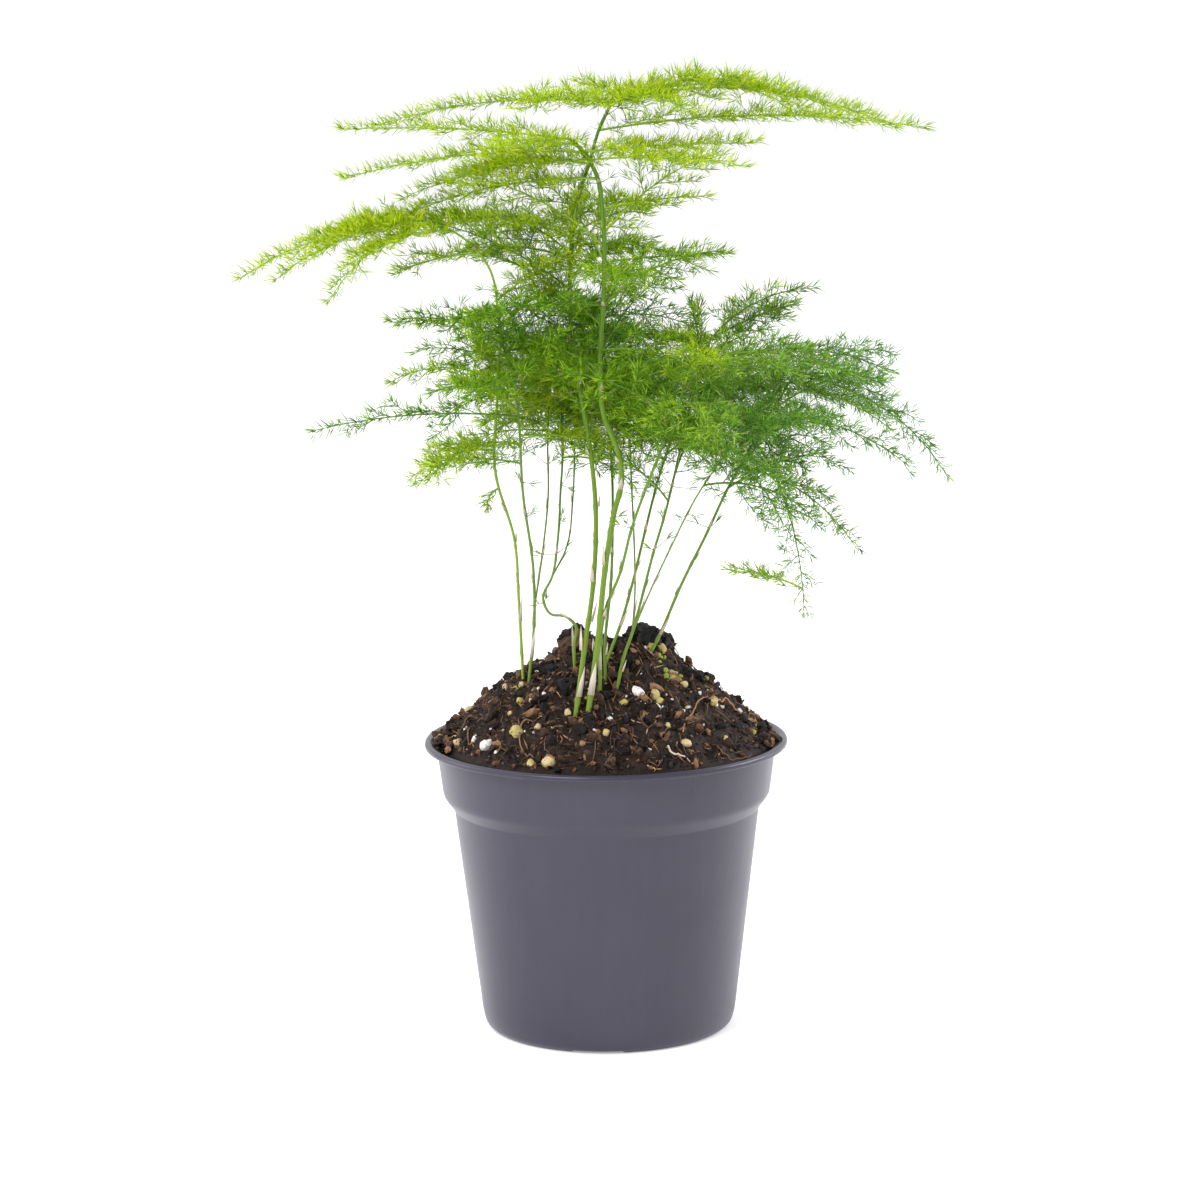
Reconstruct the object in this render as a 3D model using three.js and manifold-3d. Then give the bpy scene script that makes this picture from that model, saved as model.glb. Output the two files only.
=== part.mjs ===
// An asparagus fern (Asparagus setaceus) in a grey plastic nursery pot.
// Millimetres, +Z up, +Y away from the viewer. The origin is the middle of the pot's base, on the ground.
//
// The pot holds a heaped mound of peat soil. Ten wiry stems stand in holes in the mound; some fork.
// Each stem, its forks, its fronds and their needles grew as one piece, so they are one mesh.
// A frond is a curved midrib with branchlets to the left and right, and whorls of needles on all of them.
import * as THREE from "three";
import { mergeVertices } from "three/addons/utils/BufferGeometryUtils.js";
import Module from "manifold-3d";

const wasm = await Module();
wasm.setup();

// Pot: a thin moulded pot, 12 cm across its lip.
const POT_HEIGHT = 97;
const LIP_RADIUS = 60;
const LIP_DEPTH = 2.8;
const WALL = 1.2;
const BAND_TOP_RADIUS = 56;
const BAND_FOOT_RADIUS = 54;
const BAND_FOOT_Z = 79.5;
const STEP_RADIUS = 50.2;
const STEP_Z = 72;
const HEEL_RADIUS = 42;
const HEEL_Z = 5;
const FOOT_RADIUS = 39;
const FOOT_RING_WIDTH = 4;
const FLOOR_UNDER_Z = 2.2;
const FLOOR_TOP_Z = 3.6;
const POT_SIDES = 36;
const DRAIN_HOLES = 6;
const DRAIN_RADIUS = 1.9;
const DRAIN_CIRCLE = 27;
const NOTCHES = 4;
const NOTCH_WIDTH = 16;
const NOTCH_HEIGHT = 1;
const NOTCH_TURN = -0.1;

// Soil: a mound that rises from the lip, with the raised plug that the plant was grown in.
const GAP = 0.4;
const MOUND_RADIUS = 54.2;
const MOUND_HEIGHT = 26;
const MOUND_EDGE_DROP = 1.5;
const MOUND_POWER = 2.3;
const PLUG_CENTRE = [4.5, 3];
const PLUG_RADIUS = 19;
const PLUG_HEIGHT = 9;
const SOIL_SIDES = 24;
const SOIL_RINGS = [54.2, 50.5, 44, 37, 30, 24, 19, 14.5, 8];
const GRAINS = 15;
const GRAIN_RADIUS = 1.9;
const GOLDEN = 0.6180339887;

// Stems: how deep they stand, and the room round them.
const BURIED = 8;
const HOLE_RADIUS_OVER = 0.65;
const HOLE_ABOVE = 7;
const CLEARANCE = 0.35;
const STEM_SIDES = 5;
const FORK_TAPER = 0.8;

// Twigs: their cores, and the needles on them. Angles are in degrees.
const MIDRIB_RADIUS = 0.48;
const BRANCHLET_RADIUS = 0.36;
const CORE_TAPER = 0.4;
const CORE_START = 1.2;
const TIP_LENGTH = 1.7;
const NEEDLE_LENGTH = 5.6;
const NEEDLE_SPREAD = 0.3;
const NEEDLE_ANGLE = 54;
const NEEDLE_RADIUS = 0.2;
const WHORL_HALF = 0.32;
const WHORL_EVERY = 9.7;

// Branchlets: their distance apart on a midrib, where they are longest, and how they open and droop.
const BRANCHLET_EVERY = 15;
const LEAST_BRANCHLETS = 3;
const BRANCHLET_LEAST = 3;
const LONGEST_AT = 0.3;
const OPEN_AT_BASE = 66;
const OPEN_AT_TIP = 42;
const CURVE_IN = 14;
const DROOP = 10;

// Route points are [x, y, z] of a stem's centre line, from the soil up. The first has no z: it is on the soil.
// A later route is a fork, and starts on the first.
// A frond is [route point where it leaves, azimuth, length, rise, fall, half width as a share of the length].
// Azimuth 0 is to the right, 90 away from the viewer. Rise and fall are the slopes of the midrib's two ends.
const STEMS = [
  {
    name: "leafy_stem_far_left",
    young: true,
    radii: [0.72, 0.45],
    routes: [
      {
        points: [
          [-27, -5], [-28, -6, 144], [-29, -7, 164], [-35, -9, 188], [-34, -10, 211], [-33, -12, 237],
          [-36, -14, 255], [-46, -16, 266], [-56, -17, 270],
        ],
        fronds: [
          [8, 192, 42, -12, -60, 0.4],
          [7.6, 176, 66, 4, -34, 0.36],
          [5, 185, 34, 6, -6, 0.2],
          [4.2, 165, 44, 12, -18, 0.45],
          [3.3, 236, 40, 2, -18, 0.45],
          [6.3, 138, 38, -4, -20, 0.4],
        ],
      },
    ],
  },
  {
    name: "leafy_stem_left",
    radii: [0.75, 0.45],
    routes: [
      {
        points: [
          [-25, -8.5], [-23, -8, 138], [-23, -10, 154], [-26, -16, 182], [-27, -20, 207],
          [-29, -22, 222], [-32, -23, 232],
        ],
        fronds: [
          [6, 168, 40, 10, -15, 0.45],
          [4, 188, 66, 4, -9, 0.3],
          [3.6, 216, 38, 4, -14, 0.45],
          [4.8, 250, 42, 12, -12, 0.5],
        ],
      },
      {
        points: [
          [-22.8, -8.2, 143], [-20, -2, 160], [-18, 4, 178], [-18, 9, 195], [-17, 13, 212],
          [-16, 16, 224],
        ],
        fronds: [
          [5, 120, 46, 15, -15, 0.45],
          [4, 160, 42, 10, -18, 0.45],
          [3, 75, 40, 8, -20, 0.45],
        ],
      },
    ],
  },
  {
    name: "leafy_stem_kinked",
    radii: [0.7, 0.42],
    routes: [
      {
        points: [
          [-10, -15], [-10, -15, 131], [-9.5, -15, 137.5], [-13, -14.5, 140.5], [-17.5, -13.5, 141],
          [-20, -12, 146], [-17, -9, 152.5], [-15, -4, 164], [-14, 3, 178], [-13, 10, 195],
          [-14, 15, 207], [-16, 18, 218],
        ],
        fronds: [
          [11, 140, 52, 15, -15, 0.45],
          [10, 200, 46, 6, -15, 0.4],
          [9.3, 68, 42, 8, -20, 0.45],
        ],
      },
      {
        points: [
          [-17, -9, 152.5], [-12, 2, 161], [-10, 14, 175], [-9, 30, 195], [-8, 36, 208], [-9, 42, 220],
        ],
        fronds: [
          [5, 102, 46, 12, -20, 0.45],
          [4, 64, 46, 8, -22, 0.45],
          [3.4, 135, 46, 5, -25, 0.45],
        ],
      },
    ],
  },
  {
    name: "leafy_stem_tallest",
    young: true,
    radii: [0.95, 0.55],
    routes: [
      {
        points: [
          [-9.5, -34], [-6.5, -32, 134], [-3.5, -28, 154], [-2.5, -24, 178], [-4, -20, 196],
          [-7, -15, 215], [-10, -8, 245], [-9, -4, 262], [-7, -2, 275], [-3, 0, 287], [0, 2, 297],
          [5, 4, 307],
        ],
        fronds: [
          [11, -8, 106, 20, -30, 0.34],
          [10.95, 174, 88, 16, -22, 0.32],
          [10.3, 8, 98, 12, -16, 0.26],
          [10.8, -62, 56, 24, -22, 0.42],
          [10.7, 84, 60, 22, -26, 0.42],
          [10.9, -125, 50, 26, -20, 0.4],
          [7.2, 179, 100, 8, -32, 0.36],
          [7.6, 60, 58, 10, -12, 0.42],
          [6.6, 130, 58, 12, -18, 0.42],
          [5.6, 30, 60, 10, -15, 0.42],
        ],
      },
    ],
  },
  {
    name: "leafy_stem_thickest",
    young: true,
    radii: [1.0, 0.7],
    routes: [
      {
        points: [
          [-5.5, -35], [-2.5, -33.5, 134], [0.5, -31, 160], [3.5, -29.5, 177], [6, -28, 187],
          [5, -27, 196], [0.5, -25, 208], [-0.5, -22, 222], [1, -18, 247], [1, -14, 270],
          [-1, -10.5, 284], [-5, -9, 291], [-9, -8, 295],
        ],
        fronds: [
          [12, 184, 80, 20, -12, 0.3],
          [11, -8, 56, 6, 0, 0.36],
          [10.5, -32, 58, 8, -8, 0.36],
          [11.3, 235, 50, 12, -10, 0.42],
          [9.2, 12, 46, 12, 2, 0.22],
          [8.6, 18, 56, 8, -4, 0.26],
          [10, 172, 84, 6, -18, 0.34],
          [8.3, -85, 44, 10, -15, 0.5],
          [7.8, 205, 50, 10, -12, 0.45],
          [7.2, -35, 52, 8, -22, 0.45],
        ],
      },
    ],
  },
  {
    name: "leafy_stem_rear",
    radii: [0.72, 0.45],
    routes: [
      {
        points: [
          [0, -22], [0, -20, 132], [2, -14, 149], [3, -3, 168], [3, 8, 185], [2, 17, 198],
          [1, 23, 210], [0, 26, 222],
        ],
        fronds: [
          [7, 75, 52, 20, -15, 0.45],
          [6, 112, 48, 8, -22, 0.45],
          [5, 0, 44, 5, -20, 0.4],
        ],
      },
    ],
  },
  {
    name: "leafy_stem_right_rear",
    radii: [0.72, 0.45],
    routes: [
      {
        points: [
          [2, -13], [5, -9, 136], [9, -3, 148], [13, 6, 162], [17, 14, 176], [21, 20, 188],
          [27, 27, 201], [33, 32, 214], [37, 36, 226],
        ],
        fronds: [
          [8, 8, 38, 42, 8, 0.45],
          [7, -12, 66, 28, -26, 0.42],
          [6.4, 65, 50, 10, -20, 0.45],
          [5.4, 30, 55, 5, -28, 0.45],
          [7.5, 100, 44, 12, -12, 0.45],
        ],
      },
    ],
  },
  {
    name: "leafy_stem_right_front",
    radii: [0.75, 0.45],
    routes: [
      {
        points: [
          [-2, -29.5], [0.5, -30, 146], [5, -30.5, 157], [9, -31.5, 172], [14, -33, 186],
          [20, -34, 201], [25, -36, 214], [28, -37, 227],
        ],
        fronds: [
          [7, -18, 60, 22, -30, 0.45],
          [6, -78, 51, 5, -20, 0.45],
          [6.5, 25, 44, 12, -12, 0.4],
          [5.2, -40, 50, 0, -35, 0.45],
        ],
      },
    ],
  },
  {
    name: "leafy_stem_forked",
    radii: [0.78, 0.42],
    routes: [
      {
        points: [
          [4, -25], [6, -22, 128], [9, -20, 136], [12, -16.5, 146], [16, -11, 160], [20, -6, 172],
          [24, -1, 187], [28, 4, 203], [32, 8, 217],
        ],
        fronds: [
          [8, 0, 64, 12, -26, 0.42],
          [7, -25, 58, 4, -34, 0.42],
          [7.5, 55, 46, 10, -20, 0.45],
        ],
      },
      {
        points: [
          [9, -20, 136], [15, -21.5, 150], [22, -23, 165], [30, -25, 181], [39, -28, 195],
          [47, -31, 209],
        ],
        fronds: [
          [5, -12, 56, 8, -40, 0.42],
          [4, -62, 42, -5, -45, 0.45],
          [4.5, 40, 36, 10, -10, 0.4],
        ],
      },
      {
        points: [
          [9, -20, 136], [10, -12, 148], [10, -1, 162], [9.5, 14, 178], [9, 26, 193], [8, 34, 205],
          [8, 40, 216],
        ],
        fronds: [
          [6, 74, 46, 10, -28, 0.45],
          [5, 42, 50, 5, -25, 0.45],
        ],
      },
    ],
  },
  {
    name: "leafy_stem_far_right",
    radii: [0.78, 0.45],
    routes: [
      {
        points: [
          [15, -10], [18, -9, 133], [25, -4, 148], [34, 1, 165], [41, 4.5, 179], [50, 9, 194],
          [57, 12, 205], [64, 15, 216],
        ],
        fronds: [
          [7, -6, 62, -6, -60, 0.36],
          [6.9, 36, 42, 25, -12, 0.45],
          [5, -65, 66, -25, -88, 0.3],
          [4.4, -28, 50, -5, -55, 0.4],
          [5.6, 62, 46, 5, -25, 0.45],
          [6.4, -42, 46, 5, -30, 0.45],
        ],
      },
    ],
  },
];

const { sin, cos, hypot, min, max, round, floor, PI } = Math;
const radians = (degrees) => (degrees * PI) / 180;
const V = (p) => new THREE.Vector3(...p);
const share = (number) => number - floor(number);

// Solids: a closed geometry as a manifold-3d solid, and back again.
function solidOf(geometry) {
  const bare = new THREE.BufferGeometry().setAttribute("position", geometry.getAttribute("position"));
  if (geometry.index) bare.setIndex(geometry.index);
  const merged = mergeVertices(bare, 1e-4);
  return new wasm.Manifold(
    new wasm.Mesh({
      numProp: 3,
      vertProperties: merged.attributes.position.array,
      triVerts: new Uint32Array(merged.index.array),
    }),
  );
}

function geometryOf(solid) {
  const mesh = solid.getMesh();
  const geometry = new THREE.BufferGeometry();
  geometry.setAttribute("position", new THREE.BufferAttribute(new Float32Array(mesh.vertProperties), 3));
  geometry.setIndex(new THREE.BufferAttribute(new Uint32Array(mesh.triVerts), 1));
  geometry.computeVertexNormals();
  return geometry;
}

function solidFromFaces(vertices, faces) {
  const geometry = new THREE.BufferGeometry();
  geometry.setAttribute("position", new THREE.Float32BufferAttribute(vertices.flat(), 3));
  geometry.setIndex(faces.flat());
  return solidOf(geometry);
}

// A prism of the given number of sides about the line from a to b.
function prism(a, b, radius, sides) {
  const geometry = new THREE.CylinderGeometry(radius, radius, a.distanceTo(b), sides);
  const along = b.clone().sub(a).normalize();
  geometry.applyQuaternion(new THREE.Quaternion().setFromUnitVectors(V([0, 1, 0]), along));
  const middle = a.clone().add(b).multiplyScalar(0.5);
  geometry.translate(middle.x, middle.y, middle.z);
  return solidOf(geometry);
}

// The pot: one profile turned about the axis, with drain holes in its floor and notches in its foot.
function makePot() {
  const innerBand = BAND_TOP_RADIUS - WALL;
  const profile = [
    [0, FLOOR_UNDER_Z],
    [FOOT_RADIUS - FOOT_RING_WIDTH, FLOOR_UNDER_Z],
    [FOOT_RADIUS - FOOT_RING_WIDTH + 0.8, 0],
    [FOOT_RADIUS, 0],
    [FOOT_RADIUS + 2, 1.5],
    [HEEL_RADIUS, HEEL_Z],
    [STEP_RADIUS, STEP_Z],
    [BAND_FOOT_RADIUS, BAND_FOOT_Z],
    [BAND_TOP_RADIUS, POT_HEIGHT - LIP_DEPTH],
    [LIP_RADIUS, POT_HEIGHT - LIP_DEPTH],
    [LIP_RADIUS, POT_HEIGHT - 0.8],
    [LIP_RADIUS - 0.9, POT_HEIGHT],
    [innerBand, POT_HEIGHT],
    [BAND_FOOT_RADIUS - WALL, BAND_FOOT_Z + 0.4],
    [STEP_RADIUS - WALL, STEP_Z + 0.4],
    [HEEL_RADIUS - WALL, HEEL_Z + 0.6],
    [HEEL_RADIUS - WALL - 1.6, FLOOR_TOP_Z],
    [0, FLOOR_TOP_Z],
  ].map(([r, z]) => new THREE.Vector2(r, z));
  const turned = new THREE.LatheGeometry(profile, POT_SIDES).rotateX(PI / 2);
  let pot = solidOf(turned);
  for (let i = 0; i < DRAIN_HOLES; i++) {
    const turn = (2 * PI * (i + 0.5)) / DRAIN_HOLES;
    const spot = V([DRAIN_CIRCLE * cos(turn), DRAIN_CIRCLE * sin(turn), 0]);
    const hole = prism(spot.clone().setZ(-1), spot.clone().setZ(FLOOR_TOP_Z + 1), DRAIN_RADIUS, 6);
    pot = pot.subtract(hole);
  }
  for (let i = 0; i < NOTCHES; i++) {
    const box = new THREE.BoxGeometry(FOOT_RING_WIDTH + 8, NOTCH_WIDTH, NOTCH_HEIGHT * 2);
    box.translate(FOOT_RADIUS - FOOT_RING_WIDTH / 2, 0, 0);
    box.rotateZ((2 * PI * i) / NOTCHES + NOTCH_TURN);
    pot = pot.subtract(solidOf(box));
  }
  return pot;
}

// Height of the soil's surface: the mound, the plug in its middle, and lumps.
function soilHeight(x, y) {
  const r = min(hypot(x, y), MOUND_RADIUS);
  const mound = (MOUND_HEIGHT + MOUND_EDGE_DROP) * (1 - (r / MOUND_RADIUS) ** MOUND_POWER) - MOUND_EDGE_DROP;
  const fromPlug = hypot(x - PLUG_CENTRE[0], y - PLUG_CENTRE[1]) / PLUG_RADIUS;
  const plug = PLUG_HEIGHT / (1 + fromPlug ** 8);
  const lumps = 0.8 * sin(0.55 * x + 1.3) * sin(0.6 * y + 0.4) + 0.5 * sin(1.05 * x - 0.9 * y);
  const edge = min(1, (MOUND_RADIUS - r) / 6);
  return POT_HEIGHT + mound + plug + lumps * edge;
}

// The soil: sides that follow the pot's inside, the mound on top, grains sunk in it, a hole for each stem.
function makeSoil(stemFeet) {
  const inside = (radius, z) => [radius - WALL - GAP, z];
  const sides = [
    [HEEL_RADIUS - WALL - 1.6 - GAP, FLOOR_TOP_Z + GAP],
    inside(HEEL_RADIUS - 0.1, HEEL_Z + 1.2),
    inside(STEP_RADIUS, STEP_Z + 0.1),
    inside(BAND_FOOT_RADIUS, BAND_FOOT_Z + 0.7),
  ];
  const vertices = [[0, 0, FLOOR_TOP_Z + GAP]];
  const ringAt = (radius, heightAt) => {
    for (let i = 0; i < SOIL_SIDES; i++) {
      const turn = (2 * PI * i) / SOIL_SIDES;
      const x = radius * cos(turn);
      const y = radius * sin(turn);
      vertices.push([x, y, heightAt(x, y)]);
    }
  };
  for (const [radius, z] of sides) ringAt(radius, () => z);
  for (const radius of SOIL_RINGS) ringAt(radius, soilHeight);
  vertices.push([0, 0, soilHeight(0, 0)]);
  const rings = sides.length + SOIL_RINGS.length;
  const faces = [];
  for (let i = 0; i < SOIL_SIDES; i++) {
    const next = (i + 1) % SOIL_SIDES;
    faces.push([0, 1 + next, 1 + i]);
    for (let ring = 0; ring < rings - 1; ring++) {
      const low = 1 + ring * SOIL_SIDES;
      const high = low + SOIL_SIDES;
      faces.push([low + i, low + next, high + next], [low + i, high + next, high + i]);
    }
    const last = 1 + (rings - 1) * SOIL_SIDES;
    faces.push([last + i, last + next, vertices.length - 1]);
  }
  let soil = solidFromFaces(vertices, faces);
  for (let i = 0; i < GRAINS; i++) {
    const radius = SOIL_RINGS[1 + ((i * 3) % (SOIL_RINGS.length - 2))];
    const turn = (2 * PI * round(SOIL_SIDES * share(i * GOLDEN + 0.2))) / SOIL_SIDES;
    const size = GRAIN_RADIUS * (0.6 + 0.6 * share(i * 0.7548));
    const x = radius * cos(turn);
    const y = radius * sin(turn);
    const nearFoot = stemFeet.some(({ foot }) => hypot(foot.x - x, foot.y - y) < size + 3);
    if (nearFoot) continue;
    const grain = new THREE.OctahedronGeometry(size).rotateX(i).rotateY(2 * i);
    grain.scale(1.2, 0.9, 0.8).translate(x, y, soilHeight(x, y));
    soil = soil.add(solidOf(grain));
  }
  for (const { foot, along, radius } of stemFeet) {
    const bottom = foot.clone().addScaledVector(along, -BURIED - GAP);
    const top = foot.clone().addScaledVector(along, HOLE_ABOVE);
    soil = soil.subtract(prism(bottom, top, radius + HOLE_RADIUS_OVER, 6));
  }
  return soil;
}

// Everything that is already placed, as thin rods with an owner, so that no stem's growth crosses another's.
const thicket = [];

// The least distance between two straight rods, given by their ends.
function rodDistance(p1, q1, p2, q2) {
  const d1 = q1.clone().sub(p1);
  const d2 = q2.clone().sub(p2);
  const apart = p1.clone().sub(p2);
  const a = d1.dot(d1);
  const b = d1.dot(d2);
  const c = d1.dot(apart);
  const e = d2.dot(d2);
  const f = d2.dot(apart);
  const clamp = (value) => min(1, max(0, value));
  const square = a * e - b * b;
  let s = square > 1e-9 ? clamp((b * f - c * e) / square) : 0;
  let t = (b * s + f) / e;
  if (t < 0) {
    t = 0;
    s = clamp(-c / a);
  } else if (t > 1) {
    t = 1;
    s = clamp((b - c) / a);
  }
  return d1.multiplyScalar(s).add(p1).distanceTo(d2.multiplyScalar(t).add(p2));
}

function place(owner, a, b, radius) {
  const middle = a.clone().add(b).multiplyScalar(0.5);
  thicket.push({ owner, a, b, radius, middle, reach: a.distanceTo(b) / 2 + radius });
}

function isClear(owner, a, b, radius) {
  const middle = a.clone().add(b).multiplyScalar(0.5);
  const reach = a.distanceTo(b) / 2 + radius + CLEARANCE;
  return !thicket.some(
    (rod) =>
      rod.owner !== owner &&
      rod.middle.distanceTo(middle) < rod.reach + reach &&
      rodDistance(a, b, rod.a, rod.b) < radius + rod.radius + CLEARANCE,
  );
}

const pairs = (points) => points.slice(1).map((point, i) => [points[i], point]);
const lineIsClear = (owner, points, radius) => pairs(points).every(([a, b]) => isClear(owner, a, b, radius));
const placeLine = (owner, points, radius) => pairs(points).forEach(([a, b]) => place(owner, a, b, radius));

// Two directions square to a line: side lies level, over points up.
function sidesOf(along) {
  const side = along.clone().cross(V([0, 0, 1]));
  if (side.lengthSq() < 1e-4) side.set(0, 1, 0);
  side.normalize();
  return { side, over: side.clone().cross(along) };
}

// A stem along its centre line, thinner towards its top, closed at both ends.
function stemTube(points, radiusLow, radiusHigh) {
  const n = STEM_SIDES;
  const vertices = [];
  const faces = [];
  const last = points.length - 1;
  let { side } = sidesOf(points[1].clone().sub(points[0]).normalize());
  points.forEach((point, i) => {
    const along = points[min(i + 1, last)].clone().sub(points[max(i - 1, 0)]).normalize();
    side = side.clone().addScaledVector(along, -side.dot(along)).normalize();
    const over = side.clone().cross(along);
    const radius = radiusLow + ((radiusHigh - radiusLow) * i) / last;
    for (let k = 0; k < n; k++) {
      const turn = (2 * PI * k) / n;
      const out = side.clone().multiplyScalar(cos(turn)).addScaledVector(over, sin(turn));
      vertices.push(point.clone().addScaledVector(out, radius).toArray());
    }
  });
  for (let i = 0; i < last; i++) {
    for (let k = 0; k < n; k++) {
      const next = (k + 1) % n;
      const [a, b, c, d] = [i * n + k, i * n + next, (i + 1) * n + next, (i + 1) * n + k];
      faces.push([a, c, b], [a, d, c]);
    }
  }
  for (let k = 1; k < n - 1; k++) {
    faces.push([0, k, k + 1]);
    faces.push([last * n, last * n + k + 1, last * n + k]);
  }
  return solidFromFaces(vertices, faces);
}

// The point and direction at a distance along a line of straight steps.
function travel(points, distance) {
  let left = distance;
  const steps = pairs(points);
  for (const [i, [a, b]] of steps.entries()) {
    const length = a.distanceTo(b);
    if (left <= length || i === steps.length - 1) {
      const along = b.clone().sub(a).normalize();
      return { point: a.clone().addScaledVector(along, min(left, length)), along };
    }
    left -= length;
  }
}

// A twig: a slim three-sided core that starts and ends in a point, with whorls of three needles.
// A whorl is a short step of the core between two rings. Its needles are raised from that step's three faces.
// Each whorl is turned 60 degrees from the last. A needle that would cross another stem's growth is left out.
function needleTwig(owner, points, radius, whorls, length) {
  const stations = [{ at: CORE_START, size: radius, turned: 0, whorl: false }];
  whorls.forEach((at, i) => {
    const size = radius * (1 - (CORE_TAPER * at) / length);
    stations.push({ at: at - WHORL_HALF, size, turned: i % 2, whorl: true });
    stations.push({ at: at + WHORL_HALF, size, turned: i % 2, whorl: false });
  });
  const vertices = [points[0].toArray()];
  for (const station of stations) {
    Object.assign(station, travel(points, station.at));
    Object.assign(station, sidesOf(station.along));
    station.outward = (k) => {
      const turn = (2 * PI * k) / 3 + (station.turned * PI) / 3 + PI / 2;
      return station.side.clone().multiplyScalar(cos(turn)).addScaledVector(station.over, sin(turn));
    };
    for (let k = 0; k < 3; k++) {
      vertices.push(station.point.clone().addScaledVector(station.outward(k), station.size).toArray());
    }
  }
  const tip = vertices.push(points.at(-1).toArray()) - 1;
  const faces = [];
  for (let k = 0; k < 3; k++) faces.push([0, 1 + k, 1 + ((k + 1) % 3)]);
  pairs(stations).forEach(([station, next], i) => {
    const low = 1 + 3 * i;
    const shift = station.turned && !next.turned ? 1 : 0;
    for (let k = 0; k < 3; k++) {
      const [a, b] = [low + k, low + ((k + 1) % 3)];
      const [d, c] = [low + 3 + ((k + shift) % 3), low + 3 + ((k + 1 + shift) % 3)];
      const root = station.point.clone().addScaledVector(station.along, WHORL_HALF);
      const reach = NEEDLE_LENGTH * (1 + NEEDLE_SPREAD * (share(vertices.length * GOLDEN) - 0.5));
      const end = root.clone().addScaledVector(station.outward(k + 0.5), reach * sin(radians(NEEDLE_ANGLE)));
      end.addScaledVector(station.along, reach * cos(radians(NEEDLE_ANGLE)));
      if (station.whorl && isClear(owner, root, end, NEEDLE_RADIUS)) {
        place(owner, root, end, NEEDLE_RADIUS);
        const apex = vertices.push(end.toArray()) - 1;
        faces.push([a, apex, b], [b, apex, c], [c, apex, d], [d, apex, a]);
      } else {
        faces.push([a, d, b], [b, d, c]);
      }
    }
  });
  const high = 1 + 3 * (stations.length - 1);
  for (let k = 0; k < 3; k++) faces.push([high + k, tip, high + ((k + 1) % 3)]);
  return solidFromFaces(vertices, faces);
}

// A frond's midrib: an arc from its rise to its fall, with a straight step for each branchlet.
const branchletsOn = (length) => max(LEAST_BRANCHLETS, round(length / BRANCHLET_EVERY));

function midribLine(start, azimuth, length, rise, fall) {
  const steps = branchletsOn(length);
  const turn = radians(azimuth);
  const points = [start];
  for (let i = 0; i < steps; i++) {
    const slope = radians(rise + ((fall - rise) * (i + 0.5)) / steps);
    const step = V([cos(slope) * cos(turn), cos(slope) * sin(turn), sin(slope)]);
    points.push(points.at(-1).clone().addScaledVector(step, length / steps));
  }
  return points;
}

// A branchlet leaves the midrib to the left or right by turns, in two straight steps. Lift turns it up.
function branchletLine(midrib, number, lift) {
  const at = (number + 0.5) / branchletsOn(midrib.length);
  const { point, along } = travel(midrib.points, at * midrib.length);
  const { side, over } = sidesOf(along);
  const hand = number % 2 ? 1 : -1;
  const fullness = (0.3 + 0.7 * min(1, at / LONGEST_AT)) * (1 - at) ** 0.7;
  const length = midrib.length * midrib.halfWidth * fullness + BRANCHLET_LEAST;
  const points = [point];
  for (const half of [0, 1]) {
    const open = radians(OPEN_AT_BASE + (OPEN_AT_TIP - OPEN_AT_BASE) * at - CURVE_IN * half);
    const rise = radians(DROOP * (share(number * GOLDEN) - 0.5 - half) + lift);
    const step = along.clone().multiplyScalar(cos(open)).addScaledVector(side, hand * sin(open));
    step.multiplyScalar(cos(rise)).addScaledVector(over, sin(rise)).multiplyScalar(length / 2);
    points.push(points.at(-1).clone().add(step));
  }
  return { points, length };
}

// A stem's routes as tubes. The first stands in the soil, the others are its forks.
function growRoutes(stem) {
  stem.lines = stem.routes.map((route, fork) => {
    const points = route.points.map(V);
    const radii = fork ? stem.radii.map(() => stem.radii[1]) : stem.radii;
    if (!fork) {
      points[0].z = soilHeight(points[0].x, points[0].y);
      const along = points[1].clone().sub(points[0]).normalize();
      stem.foot = { foot: points[0].clone(), along, radius: stem.radii[0] };
      points[0].addScaledVector(along, -BURIED);
    }
    placeLine(stem.name, points, radii[0]);
    stem.solids.push(stemTube(points, radii[0], radii[1] * (fork ? FORK_TAPER : 1)));
    return points;
  });
}

// The midribs of a stem's fronds. One at a route's end starts a little below it, inside the stem.
function growMidribs(stem) {
  stem.routes.forEach(({ fronds }, i) => {
    const line = stem.lines[i];
    for (const [leaves, azimuth, length, rise, fall, halfWidth] of fronds) {
      const spot = min(leaves, line.length - 1.15);
      const start = line[floor(spot)].clone().lerp(line[floor(spot) + 1], spot - floor(spot));
      const points = midribLine(start, azimuth, length, rise, fall);
      placeLine(stem.name, points, MIDRIB_RADIUS);
      stem.midribs.push({ points, length, halfWidth });
    }
  });
}

// The branchlets of a stem, each at the first lift that keeps it clear of other stems.
function growBranchlets(stem) {
  for (const midrib of stem.midribs) {
    for (let number = 0; number < branchletsOn(midrib.length); number++) {
      const tries = [0, 18, -18, 36, -36].map((lift) => branchletLine(midrib, number, lift));
      const branchlet = tries.find(({ points }) => lineIsClear(stem.name, points, BRANCHLET_RADIUS));
      if (!branchlet) continue;
      placeLine(stem.name, branchlet.points, BRANCHLET_RADIUS);
      stem.branchlets.push(branchlet);
    }
  }
}

// The needles of a stem, on its midribs and branchlets, with a whorl close to each tip.
function growNeedles(stem) {
  for (const { points, length } of stem.midribs) {
    const step = length / branchletsOn(length);
    const whorls = pairs(points).map((_, i) => min((i + 1) * step, length - TIP_LENGTH));
    stem.solids.push(needleTwig(stem.name, points, MIDRIB_RADIUS, whorls, length));
  }
  for (const { points, length } of stem.branchlets) {
    const count = max(1, floor((length - TIP_LENGTH) / WHORL_EVERY));
    const whorls = Array.from({ length: count }, (_, i) => length - TIP_LENGTH - i * WHORL_EVERY).reverse();
    stem.solids.push(needleTwig(stem.name, points, BRANCHLET_RADIUS, whorls, length));
  }
}

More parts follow.
